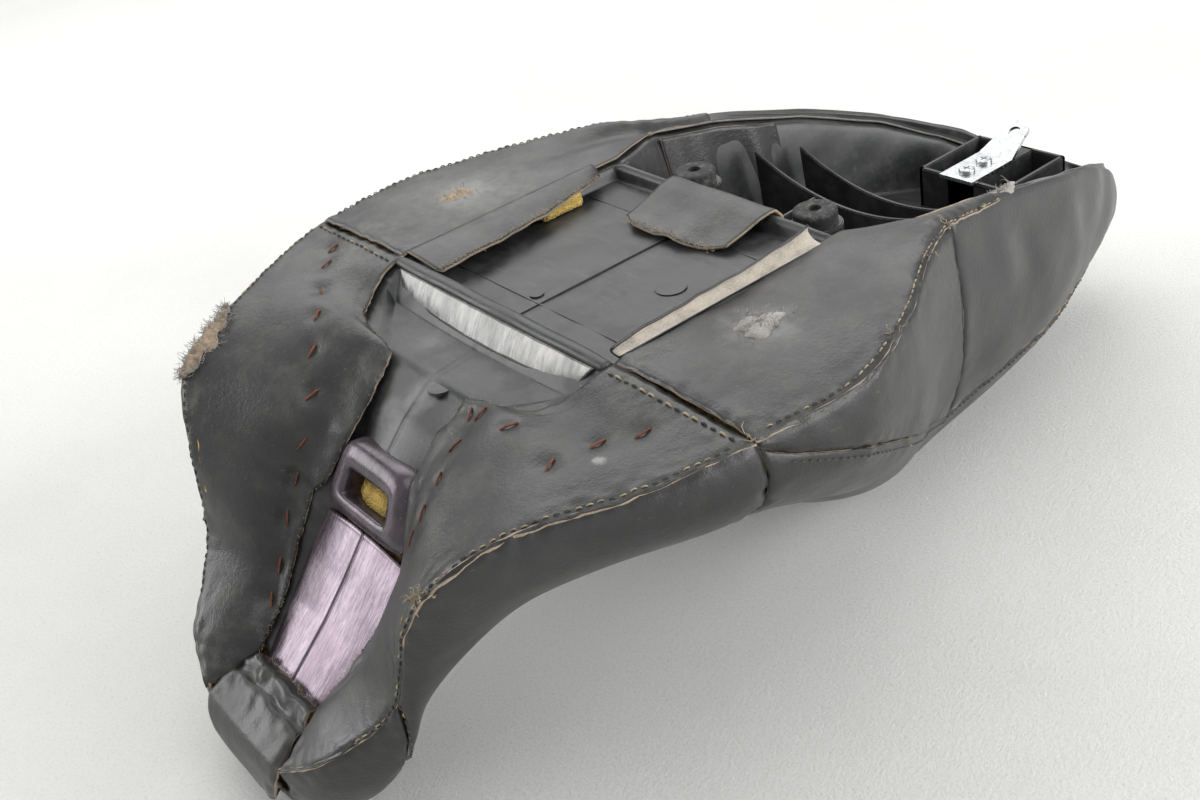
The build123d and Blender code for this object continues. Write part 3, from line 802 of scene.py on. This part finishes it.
def make_rider_facings(skins, staple_material):
    """The underside facings over the rider's foam, with their staples."""
    for name, side, spots in (("left", LEFT, STAPLES_LEFT), ("right", RIGHT, STAPLES_RIGHT)):
        u = np.broadcast_to(rows_between(CROSS_SEAM, NOSE_END, 150), (150, 64))
        f = np.broadcast_to((np.linspace(0, 1, 64) ** 0.9)[None, :], (150, 64))
        grid = facing_point(u, f, side)
        smooth_rows(grid, 6, slice(6, -1))
        steep = np.clip((u - 12.2) / 1.5, 0, 1)
        belly = np.sin(np.pi * np.clip(f, 0, 1) ** 0.8)
        height = 5.0 * belly * np.clip((u - 11) / 1.2, 0, 1) * np.clip((19.2 - u) / 1.5, 0, 1)
        height -= 4.0 * steep * np.exp(-(((f - 0.13) / 0.10) ** 2)) * np.clip((17.5 - u) / 2, 0, 1)
        height += seam_roll(grid, ("u0", "u1", "v1"), seed=11 + side, pucker=0.55)
        height += 0.7 * waves(grid, 70.0, 13) * belly
        places = nearest_spots(grid, [(x, side * y) for x, y in spots])
        points = [grid[i, j] for i, j in places]
        height += dents(grid, points, 1.8, 6.0) + dents(grid, points, 0.9, 14.0)
        height += 0.5 * waves(grid, 14.0, 15) * np.exp(-((f / 0.12) ** 2)) * np.clip((u - 11.6), 0, 1)
        rng = np.random.default_rng(21 + side)
        grid[:, 0] += rng.normal(0, 0.25, (150, 3))
        label = f"rider_facing_{name}"
        _, grid, normal = cover_sheet(f"{label}_skin", label, grid, UPWARD, height, skins)
        SEAMS["rim", side] = (grid[3:-30, -3], normal[3:-30, -3])
        SEAMS["cross", side] = (grid[2, 2:-2], normal[2, 2:-2])
        paths = []
        for i, j in places:
            turn = rng.uniform(-0.4, 0.4) + (0.0 if side == LEFT else rng.uniform(0.2, 1.2))
            paths.append(staple_path(grid, normal, i, j, turn))
        obj = tubes(f"staples_{name}_wire", paths, 0.62, staple_material)
        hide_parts(f"staples_{name}")


def staple_path(grid, normal, i, j, turn):
    """A staple's crown with its two bent shoulders, on the surface at one grid point."""
    along = grid[i + 1, j] - grid[i - 1, j]
    along /= np.linalg.norm(along)
    up = normal[i, j]
    across = np.cross(up, along)
    way = along * math.cos(turn) + across * math.sin(turn)
    half = STAPLE_HALF
    shoulder = [(half, -STAPLE_LEG), (half, 0.2), (half - 0.7, 1.0)]
    outline = [(-a, b) for a, b in shoulder] + [(0, 1.25)] + shoulder[::-1]
    return [grid[i, j] + way * a + up * b for a, b in outline]


def make_passenger_facings(skins):
    for name, side in SIDES:
        u = np.broadcast_to(rows_between(6, CROSS_SEAM, 120), (120, 46))
        f = np.broadcast_to(np.linspace(0, 1.0, 46)[None, :], (120, 46))
        grid = facing_point(u, f, side)
        smooth_rows(grid, 8, slice(1, -1))
        height = 2.4 * np.sin(np.pi * f) + seam_roll(grid, ("u1", "v1"), seed=17 + side, pucker=0.55)
        height += 0.6 * waves(grid, 60.0, 18)
        ridge, crease = (4.5, -3.2) if side == LEFT else (1.6, -1.0)
        height += fold(grid, (-215, side * 120, 6), (-140, side * 160, 12), ridge, 10.0)
        height += fold(grid, (-195, side * 119, 8), (-130, side * 132, 12), crease, 8.0)
        height += fold(grid, (-118, side * 100, 12), (-70, side * 150, 12), 1.0, 12.0)
        label = f"passenger_facing_{name}"
        _, grid, normal = cover_sheet(f"{label}_skin", label, grid, UPWARD, height, skins)
        SEAMS["rear_rim", side] = (grid[:-2, -3], normal[:-2, -3])


def make_nose(skins):
    """The nose's centre panel, with the gathered lip at the end of the ramp."""
    path = np.array([
        (184, -140, 31), (187, -134, 33), (191, -132.5, 34), (195, -135.5, 35), (198, -138.5, 36),
        (202, -138, 38), (207, -141, 40), (214, -144.5, 42), (219, -147.5, 43), (223, -155, 42),
        (225, -167, 37), (222.5, -180, 27), (217, -187, 16),
    ], dtype=float)
    key = np.linspace(0, 1, len(path))
    fine = np.linspace(0, 1, 64)
    x, z, half = (np.interp(fine, key, path[:, k]) for k in range(3))
    v = np.linspace(-0.985, 0.985, 61)
    grid = surface(x[:, None], half[:, None] * v[None, :], z[:, None])
    smooth_rows(grid, 3)
    height = seam_roll(grid, ("u1", "v0", "v1"), seed=23, pucker=0.6)
    gather = np.exp(-(((fine[:, None] - 0.28) / 0.25) ** 2))
    height += 1.1 * gather * waves(grid, 16.0, 24) + 0.4 * waves(grid, 30.0, 25)
    cover_sheet("nose_centre", "nose_panel", grid, (1, 0, 1), height, skins)


def loose_flap(name, node, grid, skins, outward=UPWARD):
    """A loose flap of the cover, folded over the pan."""
    obj = sheet_object(name, grid, grid_normals(grid, outward), skins)
    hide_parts(node)


def make_flaps(skins, turned_skins):
    """The torn flaps round the recess and the skirts that hang into the tunnel."""
    x = np.linspace(-134, 6, 60)
    ragged = line_waves(x, 17.0, 31)
    reach = np.interp(x, [-134, -120, -101, -39, 5, 6], [8, 17, 21, 32, 34, 30]) + 1.0 * ragged
    f = np.linspace(0, 1, 14)[None, :]
    y = -(100.5 - reach[:, None] * f)
    z = 13.4 - 1.0 * f - 3.0 * f**2 + 1.2 * line_waves(x, 45.0, 32)[:, None] * f
    grid = surface(x[:, None], y, z)
    loose_flap("recess_flap_far", "recess_flap_left", grid, skins)
    reach = np.interp(x, [-134, -117, -87, -47, -8, 6], [8, 6, 4.5, 4.5, 8, 5]) + 0.8 * ragged[::-1]
    curl = np.interp(x, [-134, -117, -60, -20, 6], [7.5, 6.5, 5.0, 3.0, 1.5])
    y = 100.0 - reach[:, None] * np.sin(f * 2.1) / 0.95
    z = 13.6 + curl[:, None] * (1 - np.cos(f * 2.4)) * 0.62
    grid = surface(x[:, None], y, z)
    loose_flap("recess_flap_near", "recess_flap_right", grid, turned_skins)
    make_tongue(skins)
    for name, side in SIDES:
        x = np.linspace(-292, -198, 44)
        f = np.linspace(0, 1, 18)[None, :]
        wall = np.interp(x, PAN_ROWS[:, 0], PAN_ROWS[:, 4])[:, None] - 5.0 - 9.0 * f
        top = np.interp(x, FACING_EDGE[:, 1], FACING_EDGE[:, 3])[:, None] - 3.0
        ripple = line_waves(x, 22.0, 35 + side)[:, None] * (0.6 + 2.2 * f)
        low = np.interp(x, [-292, -250, -198], [34, 52, 40])[:, None]
        grid = surface(x[:, None], side * (wall + ripple), top - low * f)
        loose_flap(f"skirt_{name}", f"tunnel_skirt_{name}", grid, skins, (0, -side, 0))


def make_tongue(skins):
    """The tongue flap over the recess's rear wall, with a torn end."""
    path = np.array([
        (-158, 1.5), (-156, 8), (-152, 12.6), (-147, 12.6), (-140, 11.5), (-128, 8), (-115, 5), (-104, 3.4),
    ])
    run = np.concatenate([[0], np.cumsum(np.linalg.norm(np.diff(path, axis=0), axis=1))])
    v = np.linspace(-1, 1, 44)
    y = np.where(v < 0, 42.0 * v, 48.0 * v)
    end = 1.0 - 0.10 * np.abs(v + 0.2) ** 3 + 0.03 * line_waves(y, 20.0, 41)
    rows = np.linspace(0, 1, 34)[:, None] * end[None, :] * run[-1]
    x = np.interp(rows, run, path[:, 0])
    z = np.interp(rows, run, path[:, 1])
    away = rows / run[-1]
    z = z + 0.9 * line_waves(y, 34.0, 42)[None, :] * away
    narrow = 1.0 - 0.10 * away
    grid = surface(x, y[None, :] * narrow, z)
    loose_flap("tongue", "tongue_flap", grid, skins)


# ---------------------------------------------------------------- threads and torn fibres

def dashes(line, normal, pitch, share, lift):
    """Stitches along a line of points: short bent dashes that dip at both ends."""
    run = np.concatenate([[0], np.cumsum(np.linalg.norm(np.diff(line, axis=0), axis=1))])
    found = []
    for start in np.arange(1.0, run[-1] - pitch, pitch):
        at = start + np.linspace(0, share, 5) * pitch
        points = np.stack([np.interp(at, run, line[:, k]) for k in range(3)], axis=-1)
        up = np.stack([np.interp(at, run, normal[:, k]) for k in range(3)], axis=-1)
        rise = np.array([-0.7, 0.35, 0.5, 0.35, -0.7])[:, None] + lift
        found.append(points + up * rise)
    return found


def split_threads(name, paths, radius, tan_share, tan, dark, seed):
    draw = np.random.default_rng(seed)
    pick = draw.uniform(size=len(paths)) < tan_share
    for which, label, material in ((pick, "tan", tan), (~pick, "dark", dark)):
        chosen = [p for p, take in zip(paths, which) if take]
        if chosen:
            tubes(f"{name}_{label}", chosen, radius, material, 5)


def make_threads(tan, dark):
    """Top stitches beside every seam; the rider's right side has more of the tan thread."""
    # Each kind of seam: pitch, the stitch's share of it, thread radius and lift.
    kinds = {
        "rim": (5.0, 0.72, 0.42, 0.15),
        "rear_rim": (5.0, 0.72, 0.42, 0.15),
        "second": (5.0, 0.6, 0.34, 0.0),
        "cross": (6.0, 0.75, 0.6, 0.3),
        "nose": (5.0, 0.65, 0.34, 0.0),
    }
    for number, (key, (line, normal)) in enumerate(SEAMS.items()):
        kind, side = key if isinstance(key, tuple) else (key, 0)
        pitch, share, radius, lift = kinds[kind]
        tan_share = {"second": 0.08, "nose": 0.05}.get(kind, 0.55 if side == RIGHT else 0.2)
        name = f"{kind}_stitches" + {LEFT: "_left", RIGHT: "_right", 0: ""}[side]
        stitches = dashes(line, normal, pitch, share, lift)
        split_threads(name, stitches, radius, tan_share, tan, dark, 50 + number)


def strands(name, places, spread, length, count, radius, material, seed, rise=0.8):
    """Torn fibres: short curly strands scattered round some points."""
    draw = np.random.default_rng(seed)
    paths = []
    for place in places:
        for _ in range(count):
            base = np.array(place, float) + draw.normal(0, 1, 3) * spread
            way = draw.normal(0, 1, 3)
            way[2] = abs(way[2]) * rise
            way /= np.linalg.norm(way)
            bend = draw.normal(0, 0.55, (5, 3))
            step = (way + bend) * length * draw.uniform(0.5, 1.2) / 5
            paths.append(base + np.cumsum(np.vstack([np.zeros(3), step]), axis=0))
    tubes(name, paths, radius, material, 4)


def tuft(name, middle, size, seed, fleece, tan, count=130):
    """A worn patch: a low ragged pad of fleece with fibres standing out of it."""
    draw = np.random.default_rng(seed)
    turn = circle(40)
    edge = 1.0 + 0.22 * np.sin(3 * turn + draw.uniform(0, 6)) + 0.12 * np.sin(7 * turn + draw.uniform(0, 6))
    rings = []
    for share, lift in ((1.0, -1.0), (0.97, 0.5), (0.8, 1.6), (0.5, 2.4), (0.2, 2.7), (0.03, 2.8)):
        ring = np.stack([
            size[0] * share * edge * np.cos(turn),
            size[1] * share * edge * np.sin(turn),
            lift * size[2] / 2.8 + 0.35 * draw.normal(size=40) * (share < 0.9),
        ], axis=-1)
        rings.append(ring + np.array(middle, float))
    loft_object(f"{name}_pad", rings, fleece)
    spread = (size[0] * 0.5, size[1] * 0.5, 0.8)
    strands(f"{name}_fibres", [middle], spread, 4.2, count, 0.17, tan, seed)


def torn_patch(fleece, grey):
    """Where the left rim has worn through: ragged fleece, with its layers frayed along it."""
    u = np.linspace(12.75, 14.0, 70)[:, None]
    v = np.linspace(0, 1, 16)[None, :]
    ragged = waves(np.concatenate([u * 40, 0 * u, 0 * u], axis=1), 9.0, 44)[:, None]
    reach = np.sin(np.pi * np.linspace(0.06, 0.94, 70))[:, None] * (1.0 + 0.25 * ragged)
    t = 0.001 + 0.075 * v * reach
    grid = skin_point(u, t, LEFT, -0.4)
    share = 1 - 0.10 * np.linspace(1, 0.1, 6)[None, :] * reach
    lean = facing_point(np.broadcast_to(u, (70, 6)), share, LEFT)
    lean[..., 2] += 1.2
    grid = np.concatenate([lean, grid], axis=1)
    normal = grid_normals(grid, (0, -1, 0.6))
    grid = grid + normal * (0.6 + 0.9 * waves(grid, 6.0, 45) + 0.5 * waves(grid, 2.5, 46))[..., None]
    sheet_object("torn_rim", grid, grid_normals(grid, (0, -1, 0.6)), [fleece, fleece], 1.0)
    points = grid[::3, ::5].reshape(-1, 3)
    strands("torn_rim_fibres", points, (0.8, 0.8, 0.8), 4.5, 7, 0.16, grey, 74, 0.5)


def make_wear(fleece, grey, tan):
    tuft("far_patch", (-60, -142, 11.6), (13, 9, 2.6), 71, fleece, tan)
    tuft("near_patch", (-56, 134, 12.2), (14, 10, 3.2), 72, grey, grey, 180)
    tuft("seam_knot", (-262, 117, -4), (11, 4, 2.2), 73, grey, grey, 60)
    torn_patch(fleece, grey)
    edge = [facing_edge(u, side) for u in np.linspace(11.3, 18.6, 60) for side in (LEFT, RIGHT)]
    strands("facing_edge_fray", edge, (0.5, 0.5, 0.3), 1.6, 2, 0.11, tan, 75)
    lip = [(186 + 0.05 * abs(y), y, -136.5) for y in np.linspace(-29, 29, 26)]
    strands("lip_fray", lip, (0.8, 0.7, 0.6), 2.8, 12, 0.15, tan, 76)
    torn = ([-130, -101, -39, 5], [86, 79.5, 68.5, 66.5])
    flap = [(x, -np.interp(x, *torn), 10.5) for x in np.linspace(-130, 4, 50)]
    strands("far_flap_fray", flap, (0.9, 0.7, 0.5), 2.0, 6, 0.13, tan, 77)
    tongue = [(-106, y, 5.0) for y in np.linspace(-34, 42, 30)]
    strands("tongue_fray", tongue, (1.4, 0.7, 0.5), 2.0, 6, 0.13, tan, 78)
    seam = [facing_point(np.array(u), np.array(0.985), RIGHT) for u in (6.3, 7.1, 7.9, 9.2, 11.0, 14.2)]
    strands("loose_thread", seam, (2.5, 1.2, 0.4), 9.0, 3, 0.24, tan, 79)
    worn = [facing_point(np.array(u), np.array(0.95), RIGHT) for u in (14.25, 14.35, 14.45)]
    strands("worn_thread", worn, (2.2, 1.6, 0.3), 6.0, 9, 0.26, tan, 80, 0.15)


# ---------------------------------------------------------------- pan, socket and foam

def pan_row(x):
    return [np.interp(x, PAN_ROWS[:, 0], PAN_ROWS[:, k]) for k in range(1, 5)]


def facing_level(x):
    return np.interp(x, FACING_EDGE[:, 1], FACING_EDGE[:, 3])


def pan_grid(xs):
    """The pan's upper face: floor, wall and the start of the flange, on both sides."""
    middle, floor_half, floor_z, wall_half = (v[:, None] for v in pan_row(xs))
    flange_z = facing_level(xs)[:, None] - FLANGE_DROP
    floor = np.linspace(0, 1, 26)[None, :]
    wall = np.linspace(0, 1, 16)[None, 1:]
    flange = np.linspace(0, 1, 6)[None, 1:]
    bend = wall * wall * (3 - 2 * wall)
    y = np.concatenate([
        floor_half * floor,
        floor_half + (wall_half - floor_half) * wall,
        wall_half + 24 * flange,
    ], axis=1)
    z = np.concatenate([
        middle + (floor_z - middle) * floor**2,
        floor_z + (flange_z - floor_z) * bend,
        flange_z + 0 * flange,
    ], axis=1)
    outer = skin_point(np.interp(xs, SKIN[:, 0], np.arange(len(SKIN))), 0.0, 1)
    rise = (outer[:, 2:] - FLANGE_DROP - flange_z) / np.maximum(outer[:, 1:2] - wall_half, 10.0)
    z[:, -5:] += rise * 24 * flange * 0.9
    rim = outer[:, 1:2] - 8
    y = np.minimum(y, np.maximum(rim, floor_half))
    y = np.concatenate([-y[:, :0:-1], y], axis=1)
    z = np.concatenate([z[:, :0:-1], z], axis=1)
    return np.stack([np.broadcast_to(xs[:, None], y.shape), y, z], axis=-1)


def make_pan(plastic, gloss_painted_reflection, strip, worn, foam):
    near_walls = [(-162, -143, 34), (6, 34, 50)]
    xs = np.concatenate([np.linspace(-478, 182, 240)] + [np.linspace(*w) for w in near_walls])
    grid = pan_grid(np.unique(np.round(xs, 2)))
    height = 0.25 * waves(grid, 40.0, 81)
    inside = (np.abs(grid[..., 1]) < 96) & (grid[..., 0] > -146) & (grid[..., 0] < 180)
    height -= 0.7 * np.exp(-((grid[..., 1] / PARTING_LINE_HALF) ** 2)) * inside
    normal = grid_normals(grid, UPWARD)
    behind = (grid[..., 0] > 99) & (grid[..., 0] < 121) & (np.abs(grid[..., 1]) < 30)
    grid[..., 2] -= 24.0 * behind
    grid = grid + normal * height[..., None]
    pieces = [sheet_object("pan_shell", grid, normal, [plastic, plastic], 2.8)]
    # The ramp, strip and socket materials carry a painted reflection in their base colour.
    pieces += [ramp(gloss_painted_reflection), front_strip(strip), front_bar(plastic), socket(worn)]
    pieces += [tunnel_ribs(plastic), bracket(plastic), buffer_posts(plastic), floor_details(plastic)]
    for piece in pieces:
        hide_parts("seat_pan")
    make_foam_plugs(foam)


def ramp(gloss_painted_reflection):
    """The polished ramp from the socket down to the lip, split by a parting line."""
    xs = np.linspace(121, 187, 60)
    middle = pan_row(xs)[0] + 1.6
    half = np.interp(xs, [121, 140, 160, 177, 187], [41, 42, 38, 34, 32])
    v = np.linspace(-1, 1, 141)[None, :]
    sag = -3.5 * np.abs(v) ** 2.4 - 1.3 * np.exp(-((v * 40 / 0.8) ** 2))
    grid = surface(xs[:, None], half[:, None] * v, middle[:, None] + sag)
    normal = grid_normals(grid, UPWARD)
    return sheet_object("nose_ramp", grid, normal, [gloss_painted_reflection, gloss_painted_reflection], 1.2)


def front_strip(material):
    """The slanted, faceted face in front of the recess, with a bowed lower edge."""
    v = np.linspace(-1, 1, 121)[None, :]
    f = np.linspace(0, 1, 12)[:, None]
    facet = np.round(v * 3.0) / 3.0
    bow = 1.0 - v**2
    low_x = 22.0 + 4.0 * bow
    low_z = -2.0 - 3.5 * bow
    x = 16.0 + (low_x - 16.0) * f + 0.8 * np.abs(v - facet) * 6 * np.sin(np.pi * f)
    z = 8.4 + (low_z - 8.4) * f + 0.5 * np.cos(v * 19.0) * np.sin(np.pi * f)
    y = (92.0 - 9.0 * f) * v
    grid = surface(x, y, z)
    normal = grid_normals(grid, UPWARD)
    grid = grid + normal * 1.3
    return sheet_object("recess_front_strip", grid, normal, [material, material], 1.2)


def front_bar(plastic):
    """The rounded bar along the recess's front edge."""
    ys = np.linspace(-98, 98, 80)
    turn = circle(20)
    rings = []
    for y in ys:
        size = 1.0 - 0.25 * (abs(y) / 98) ** 8
        x = 12.5 + 4.6 * size * np.cos(turn)
        z = 9.6 + 3.6 * size * np.sin(turn) + 0.25 * math.sin(y / 9.0)
        rings.append(np.stack([x, np.full(20, y), z], axis=-1))
    return loft_object("recess_front_bar", rings, plastic)


def rounded_ring(half_width, half_height, corner, count=80):
    """A rounded rectangle's outline in (across, down)."""
    turn = circle(count)
    power = 2.0 / max(2.0, 2.0 * half_height / corner)
    across = np.sign(np.cos(turn)) * np.abs(np.cos(turn)) ** power * half_width
    down = np.sign(np.sin(turn)) * np.abs(np.sin(turn)) ** power * half_height
    return across, down


def socket_axes():
    """The ways down the socket's face and out of its slot."""
    tilt = math.radians(SOCKET_TILT)
    slope = np.array([math.cos(tilt), 0.0, -math.sin(tilt)])
    out = np.array([math.sin(tilt), 0.0, math.cos(tilt)])
    return slope, out


def socket(gloss_painted_reflection):
    """The tongue socket: a rounded block round an open slot, in the throat of the pan."""
    slope, out = socket_axes()
    # Rings from the slot's inside over the mouth: half width, half height, corner, lift, shift.
    spec = [
        (20.0, 7.0, 2, -22.0, 0), (21.5, 8.0, 2, -3.0, 0), (22.0, 8.4, 2, 0.0, 0), (23.5, 10.0, 3, 1.2, 0),
        (29.0, 14.5, 6, 0.9, -1), (34.0, 19.0, 7, -0.6, -1.5), (37.5, 21.5, 8, -3.6, -1.5),
        (39.5, 23.0, 8, -9.0, -1.5), (41.0, 24.0, 8, -20.0, -1.5),
    ]
    rings = []
    for half_width, half_height, corner, lift, shift in spec:
        across, down = rounded_ring(half_width, half_height, corner)
        narrow = 1.0 + 0.16 * np.clip(down / 24.0, -1, 1)
        face = np.outer(down + shift, slope) + np.outer(across * narrow, (0, 1, 0))
        rings.append(SOCKET_MIDDLE + face + out * lift)
    return loft_object("tongue_socket", rings, gloss_painted_reflection, closed=True)


def tunnel_ribs(plastic):
    parts = []
    for x, top, half in ((-262, -24, 88), (-300, -34, 84)):
        floor = pan_row(x)[2]
        ys = np.linspace(-half, half, 26)
        arch = top - 22 + 22 * (np.abs(ys) / half) ** 2
        outline = [(x, y, floor - 1) for y in (-half + 4, half - 4)]
        outline += [(x, y, z) for y, z in zip(ys[::-1], arch[::-1])]
        parts.append((outline, (3, 0, 0)))
    for y in (-34, 34):
        low = [(x, y, float(pan_row(x)[0]) - 1) for x in (-259, -162)]
        parts.append(([*low, (-162, y, -40), (-210, y, -46), (-259, y, -44)], (0, 3, 0)))
    return solids_object("tunnel_ribs", parts, plastic, 0.7)


def bracket(plastic):
    """The tab's bracket box: outer walls, a middle web under the tab, and a floor."""
    x0, x1, half, top, low = -431, -365, 37, -66.2, -100
    parts = [box_part((x0, -half, low), (x1, half, low + 4))]
    for side in (-1, 1):
        y = sorted((side * half, side * (half - 4)))
        parts.append(box_part((x0, y[0], low), (x1, y[1], top)))
    parts.append(box_part((x0, -12, low), (x1, 12, top)))
    for end in (x0, x1 - 4):
        parts.append(box_part((end, -half, low), (end + 4, half, top)))
    return solids_object("tab_bracket", parts, plastic, 0.9)


def buffer_posts(plastic):
    parts = []
    turn = circle(32)
    for side in (-1, 1):
        ring = [(-177 + 16 * math.cos(a), side * 52 + 16 * math.sin(a), -72) for a in turn]
        parts.append((ring, (0, 0, 66.8)))
    return solids_object("buffer_posts", parts, plastic, 0.8)


def floor_details(plastic):
    """Raised marks on the recess floor and throat: three discs, the middle line and two ridges."""
    parts = []
    turn = circle(24)
    for x, y, radius, rise in ((-21, -10, 4.2, 0.9), (60, 10, 7.0, 0.5), (-70, 48, 9.0, 0.5)):
        level = float(pan_row(x)[0])
        ring = [(x + radius * math.cos(a), y + radius * math.sin(a), level - 1.5) for a in turn]
        parts.append((ring, (0, 0, 1.5 + rise)))
    parts.append(box_part((-143, -0.45, -1.0), (8, 0.45, 0.55)))
    for x, y0, y1 in ((-120, -86, 88), (-16, -88, 88)):
        parts.append(box_part((x, y0, -1.0), (x + 1.2, y1, 0.35)))
    return solids_object("floor_marks", parts, plastic, 0.15)


def make_foam_plugs(foam):
    """Foam that shows in the recess's window and behind the tongue slot."""
    draw = np.random.default_rng(91)
    rings = []
    for z in np.linspace(1.2, 8.5, 5):
        turn = circle(48)
        across, down = rounded_ring(16, 6.5, 3, 48)
        lump = 1 + 0.05 * draw.normal(size=48)
        rings.append(np.stack([-94 + across * lump, -86 + down * lump, z + 0.3 * np.sin(turn * 5)], axis=-1))
    obj = loft_object("foam_in_window", rings, foam)
    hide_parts("foam_bun")
    slope, out = socket_axes()
    rings = []
    for lift in np.linspace(-16, -6, 5):
        across, down = rounded_ring(15, 6.0, 3, 48)
        lump = 1 + 0.05 * draw.normal(size=48)
        ring = SOCKET_MIDDLE + np.outer(down * lump + 1.5, slope) + out * lift
        rings.append(ring + np.outer(across * lump + 3.5, (0, 1, 0)))
    obj = loft_object("foam_in_slot", rings, foam)
    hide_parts("foam_bun")


def skin_ring(x, heights, inset):
    """The skin's section at a given x, as points at the given heights."""
    u = np.linspace(0, NOSE_END, 600)
    rows = [np.interp(x, skin_point(u, t, 1)[:, 0], u) for t in heights]
    return skin_point(np.array(rows), heights, 1, inset)


def make_foam(foam):
    """The foam bun, between the pan and the cover, with an open-cell surface."""
    rings = []
    for x in np.linspace(-474, 180, 170):
        middle, floor_half, floor_z, wall_half = pan_row(x)
        level = float(facing_level(x)) - 10.0
        rim = skin_ring(x, np.array([0.0]), 0.0)[0]
        sides = skin_ring(x, np.linspace(0.16, 1.0, 22), 6.5)
        edge = max(sides[0, 1] - 2.0, floor_half + 10)
        across = [0, floor_half + 3, wall_half + 4, edge]
        height = [middle - 6, floor_z - 6, level, rim[2] - 10]
        key = np.linspace(0, 1, 4)
        fine = np.linspace(0, 1, 22)
        top = np.stack([np.interp(fine, key, across), np.interp(fine, key, height)], axis=-1)
        half = np.concatenate([top, np.stack([sides[:, 1], np.minimum(sides[:, 2], rim[2] - 12)], axis=-1)])
        mirror = half[::-1][1:-1] * (-1, 1)
        ring = np.concatenate([half, mirror])
        rings.append(np.stack([np.full(len(ring), x), ring[:, 0], ring[:, 1]], axis=-1))
    rings = np.array(rings)
    rings[..., 2] += 0.4 * waves(rings, 12.0, 95)
    obj = loft_object("foam_body", rings, foam)
    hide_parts("foam_bun")


# ---------------------------------------------------------------- the whole scene

def dress_metal(zinc, bolt):
    """Materials for the CAD nodes that stay: the tab, its screws and nuts, and the buffers."""
    rubber = rubber_material()
    finish = {
        "rear_mounting_tab": zinc,
        "tab_screws": bolt,
        "tab_tee_nuts": bolt,
        "rubber_buffer_left": rubber,
        "rubber_buffer_right": rubber,
    }
    for node, material in finish.items():
        obj = bpy.data.objects[node]
        obj.data.materials.clear()
        obj.data.materials.append(material)


def make_floor():
    bpy.ops.mesh.primitive_plane_add(size=14.0, location=(0, 0, 0))
    floor = bpy.context.active_object
    floor.name = "floor"
    floor.data.materials.append(floor_material())


def main():
    make_camera()
    make_light()
    make_floor()
    tan_fleece = fleece_material("tan_fleece", (0.36, 0.27, 0.19))
    white_fleece = fleece_material("white_fleece", (0.46, 0.41, 0.35))
    grey_fleece = fleece_material("grey_fleece", (0.30, 0.28, 0.26))
    tan = thread_material("tan_thread", (0.34, 0.26, 0.15))
    dark = thread_material("dark_thread", (0.035, 0.032, 0.03))
    black = (0.017, 0.017, 0.0175)
    dusty = (0.24, 0.235, 0.22)
    side_vinyl = vinyl_material("vinyl_sides", black, 0.25)
    facing_marks = [
        ((-60, -142, 12), 24, 0.5, dusty),
        ((-60, -120, 12), 30, 0.25, dusty),
        ((-56, 134, 12), 26, 0.45, dusty),
        ((20, -140, 14), 34, 0.22, dusty),
        ((-60, -150, 12), 75, 0.22, dusty),
        ((30, 60, 6), 30, 0.2, dusty),
        ((60, 150, 8), 5, 0.9, (0.6, 0.6, 0.58)),
    ]
    facing_vinyl = vinyl_material("vinyl_facing", (0.021, 0.021, 0.021), 0.32, facing_marks)
    tail_vinyl = vinyl_material("vinyl_tail", (0.020, 0.020, 0.021), 0.2)
    scuffs = [((66, 0, -16), 16, 0.35, (0.30, 0.30, 0.30)), ((40, -30, -8), 14, 0.2, (0.25, 0.25, 0.25))]
    plastic = plastic_material("pan_black", (0.018, 0.0185, 0.019), 0.30, (0.36, 0.55), scuffs)
    # The lighter base colours of the ramp, the strip and the socket are painted reflection, pink-tinted on
    # the ramp and the socket. On the socket they go with real wear.
    gloss_painted_reflection = painted_reflection_gloss_material("ramp_gloss", (0.13, 0.10, 0.122), (0.235, 0.19, 0.23), 0.75)
    strip = painted_reflection_gloss_material("strip_gloss", (0.111, 0.111, 0.106), (0.25, 0.244, 0.238), 0.4)
    worn = painted_reflection_gloss_material("socket_worn", (0.05, 0.042, 0.05), (0.12, 0.09, 0.115), 0.35)
    foam = foam_material()
    make_saddle([side_vinyl, tan_fleece])
    make_passenger_pad([side_vinyl, tan_fleece])
    make_tail([tail_vinyl, grey_fleece])
    make_rider_facings([facing_vinyl, tan_fleece], rust_material())
    make_passenger_facings([facing_vinyl, tan_fleece])
    make_nose([facing_vinyl, tan_fleece])
    make_flaps([facing_vinyl, tan_fleece], [white_fleece, facing_vinyl])
    make_threads(tan, dark)
    make_wear(tan_fleece, grey_fleece, tan)
    make_pan(plastic, gloss_painted_reflection, strip, worn, foam)
    make_foam(foam)
    dress_metal(zinc_material("zinc", 0.28), zinc_material("bolt_zinc", 0.34))
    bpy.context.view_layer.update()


main()
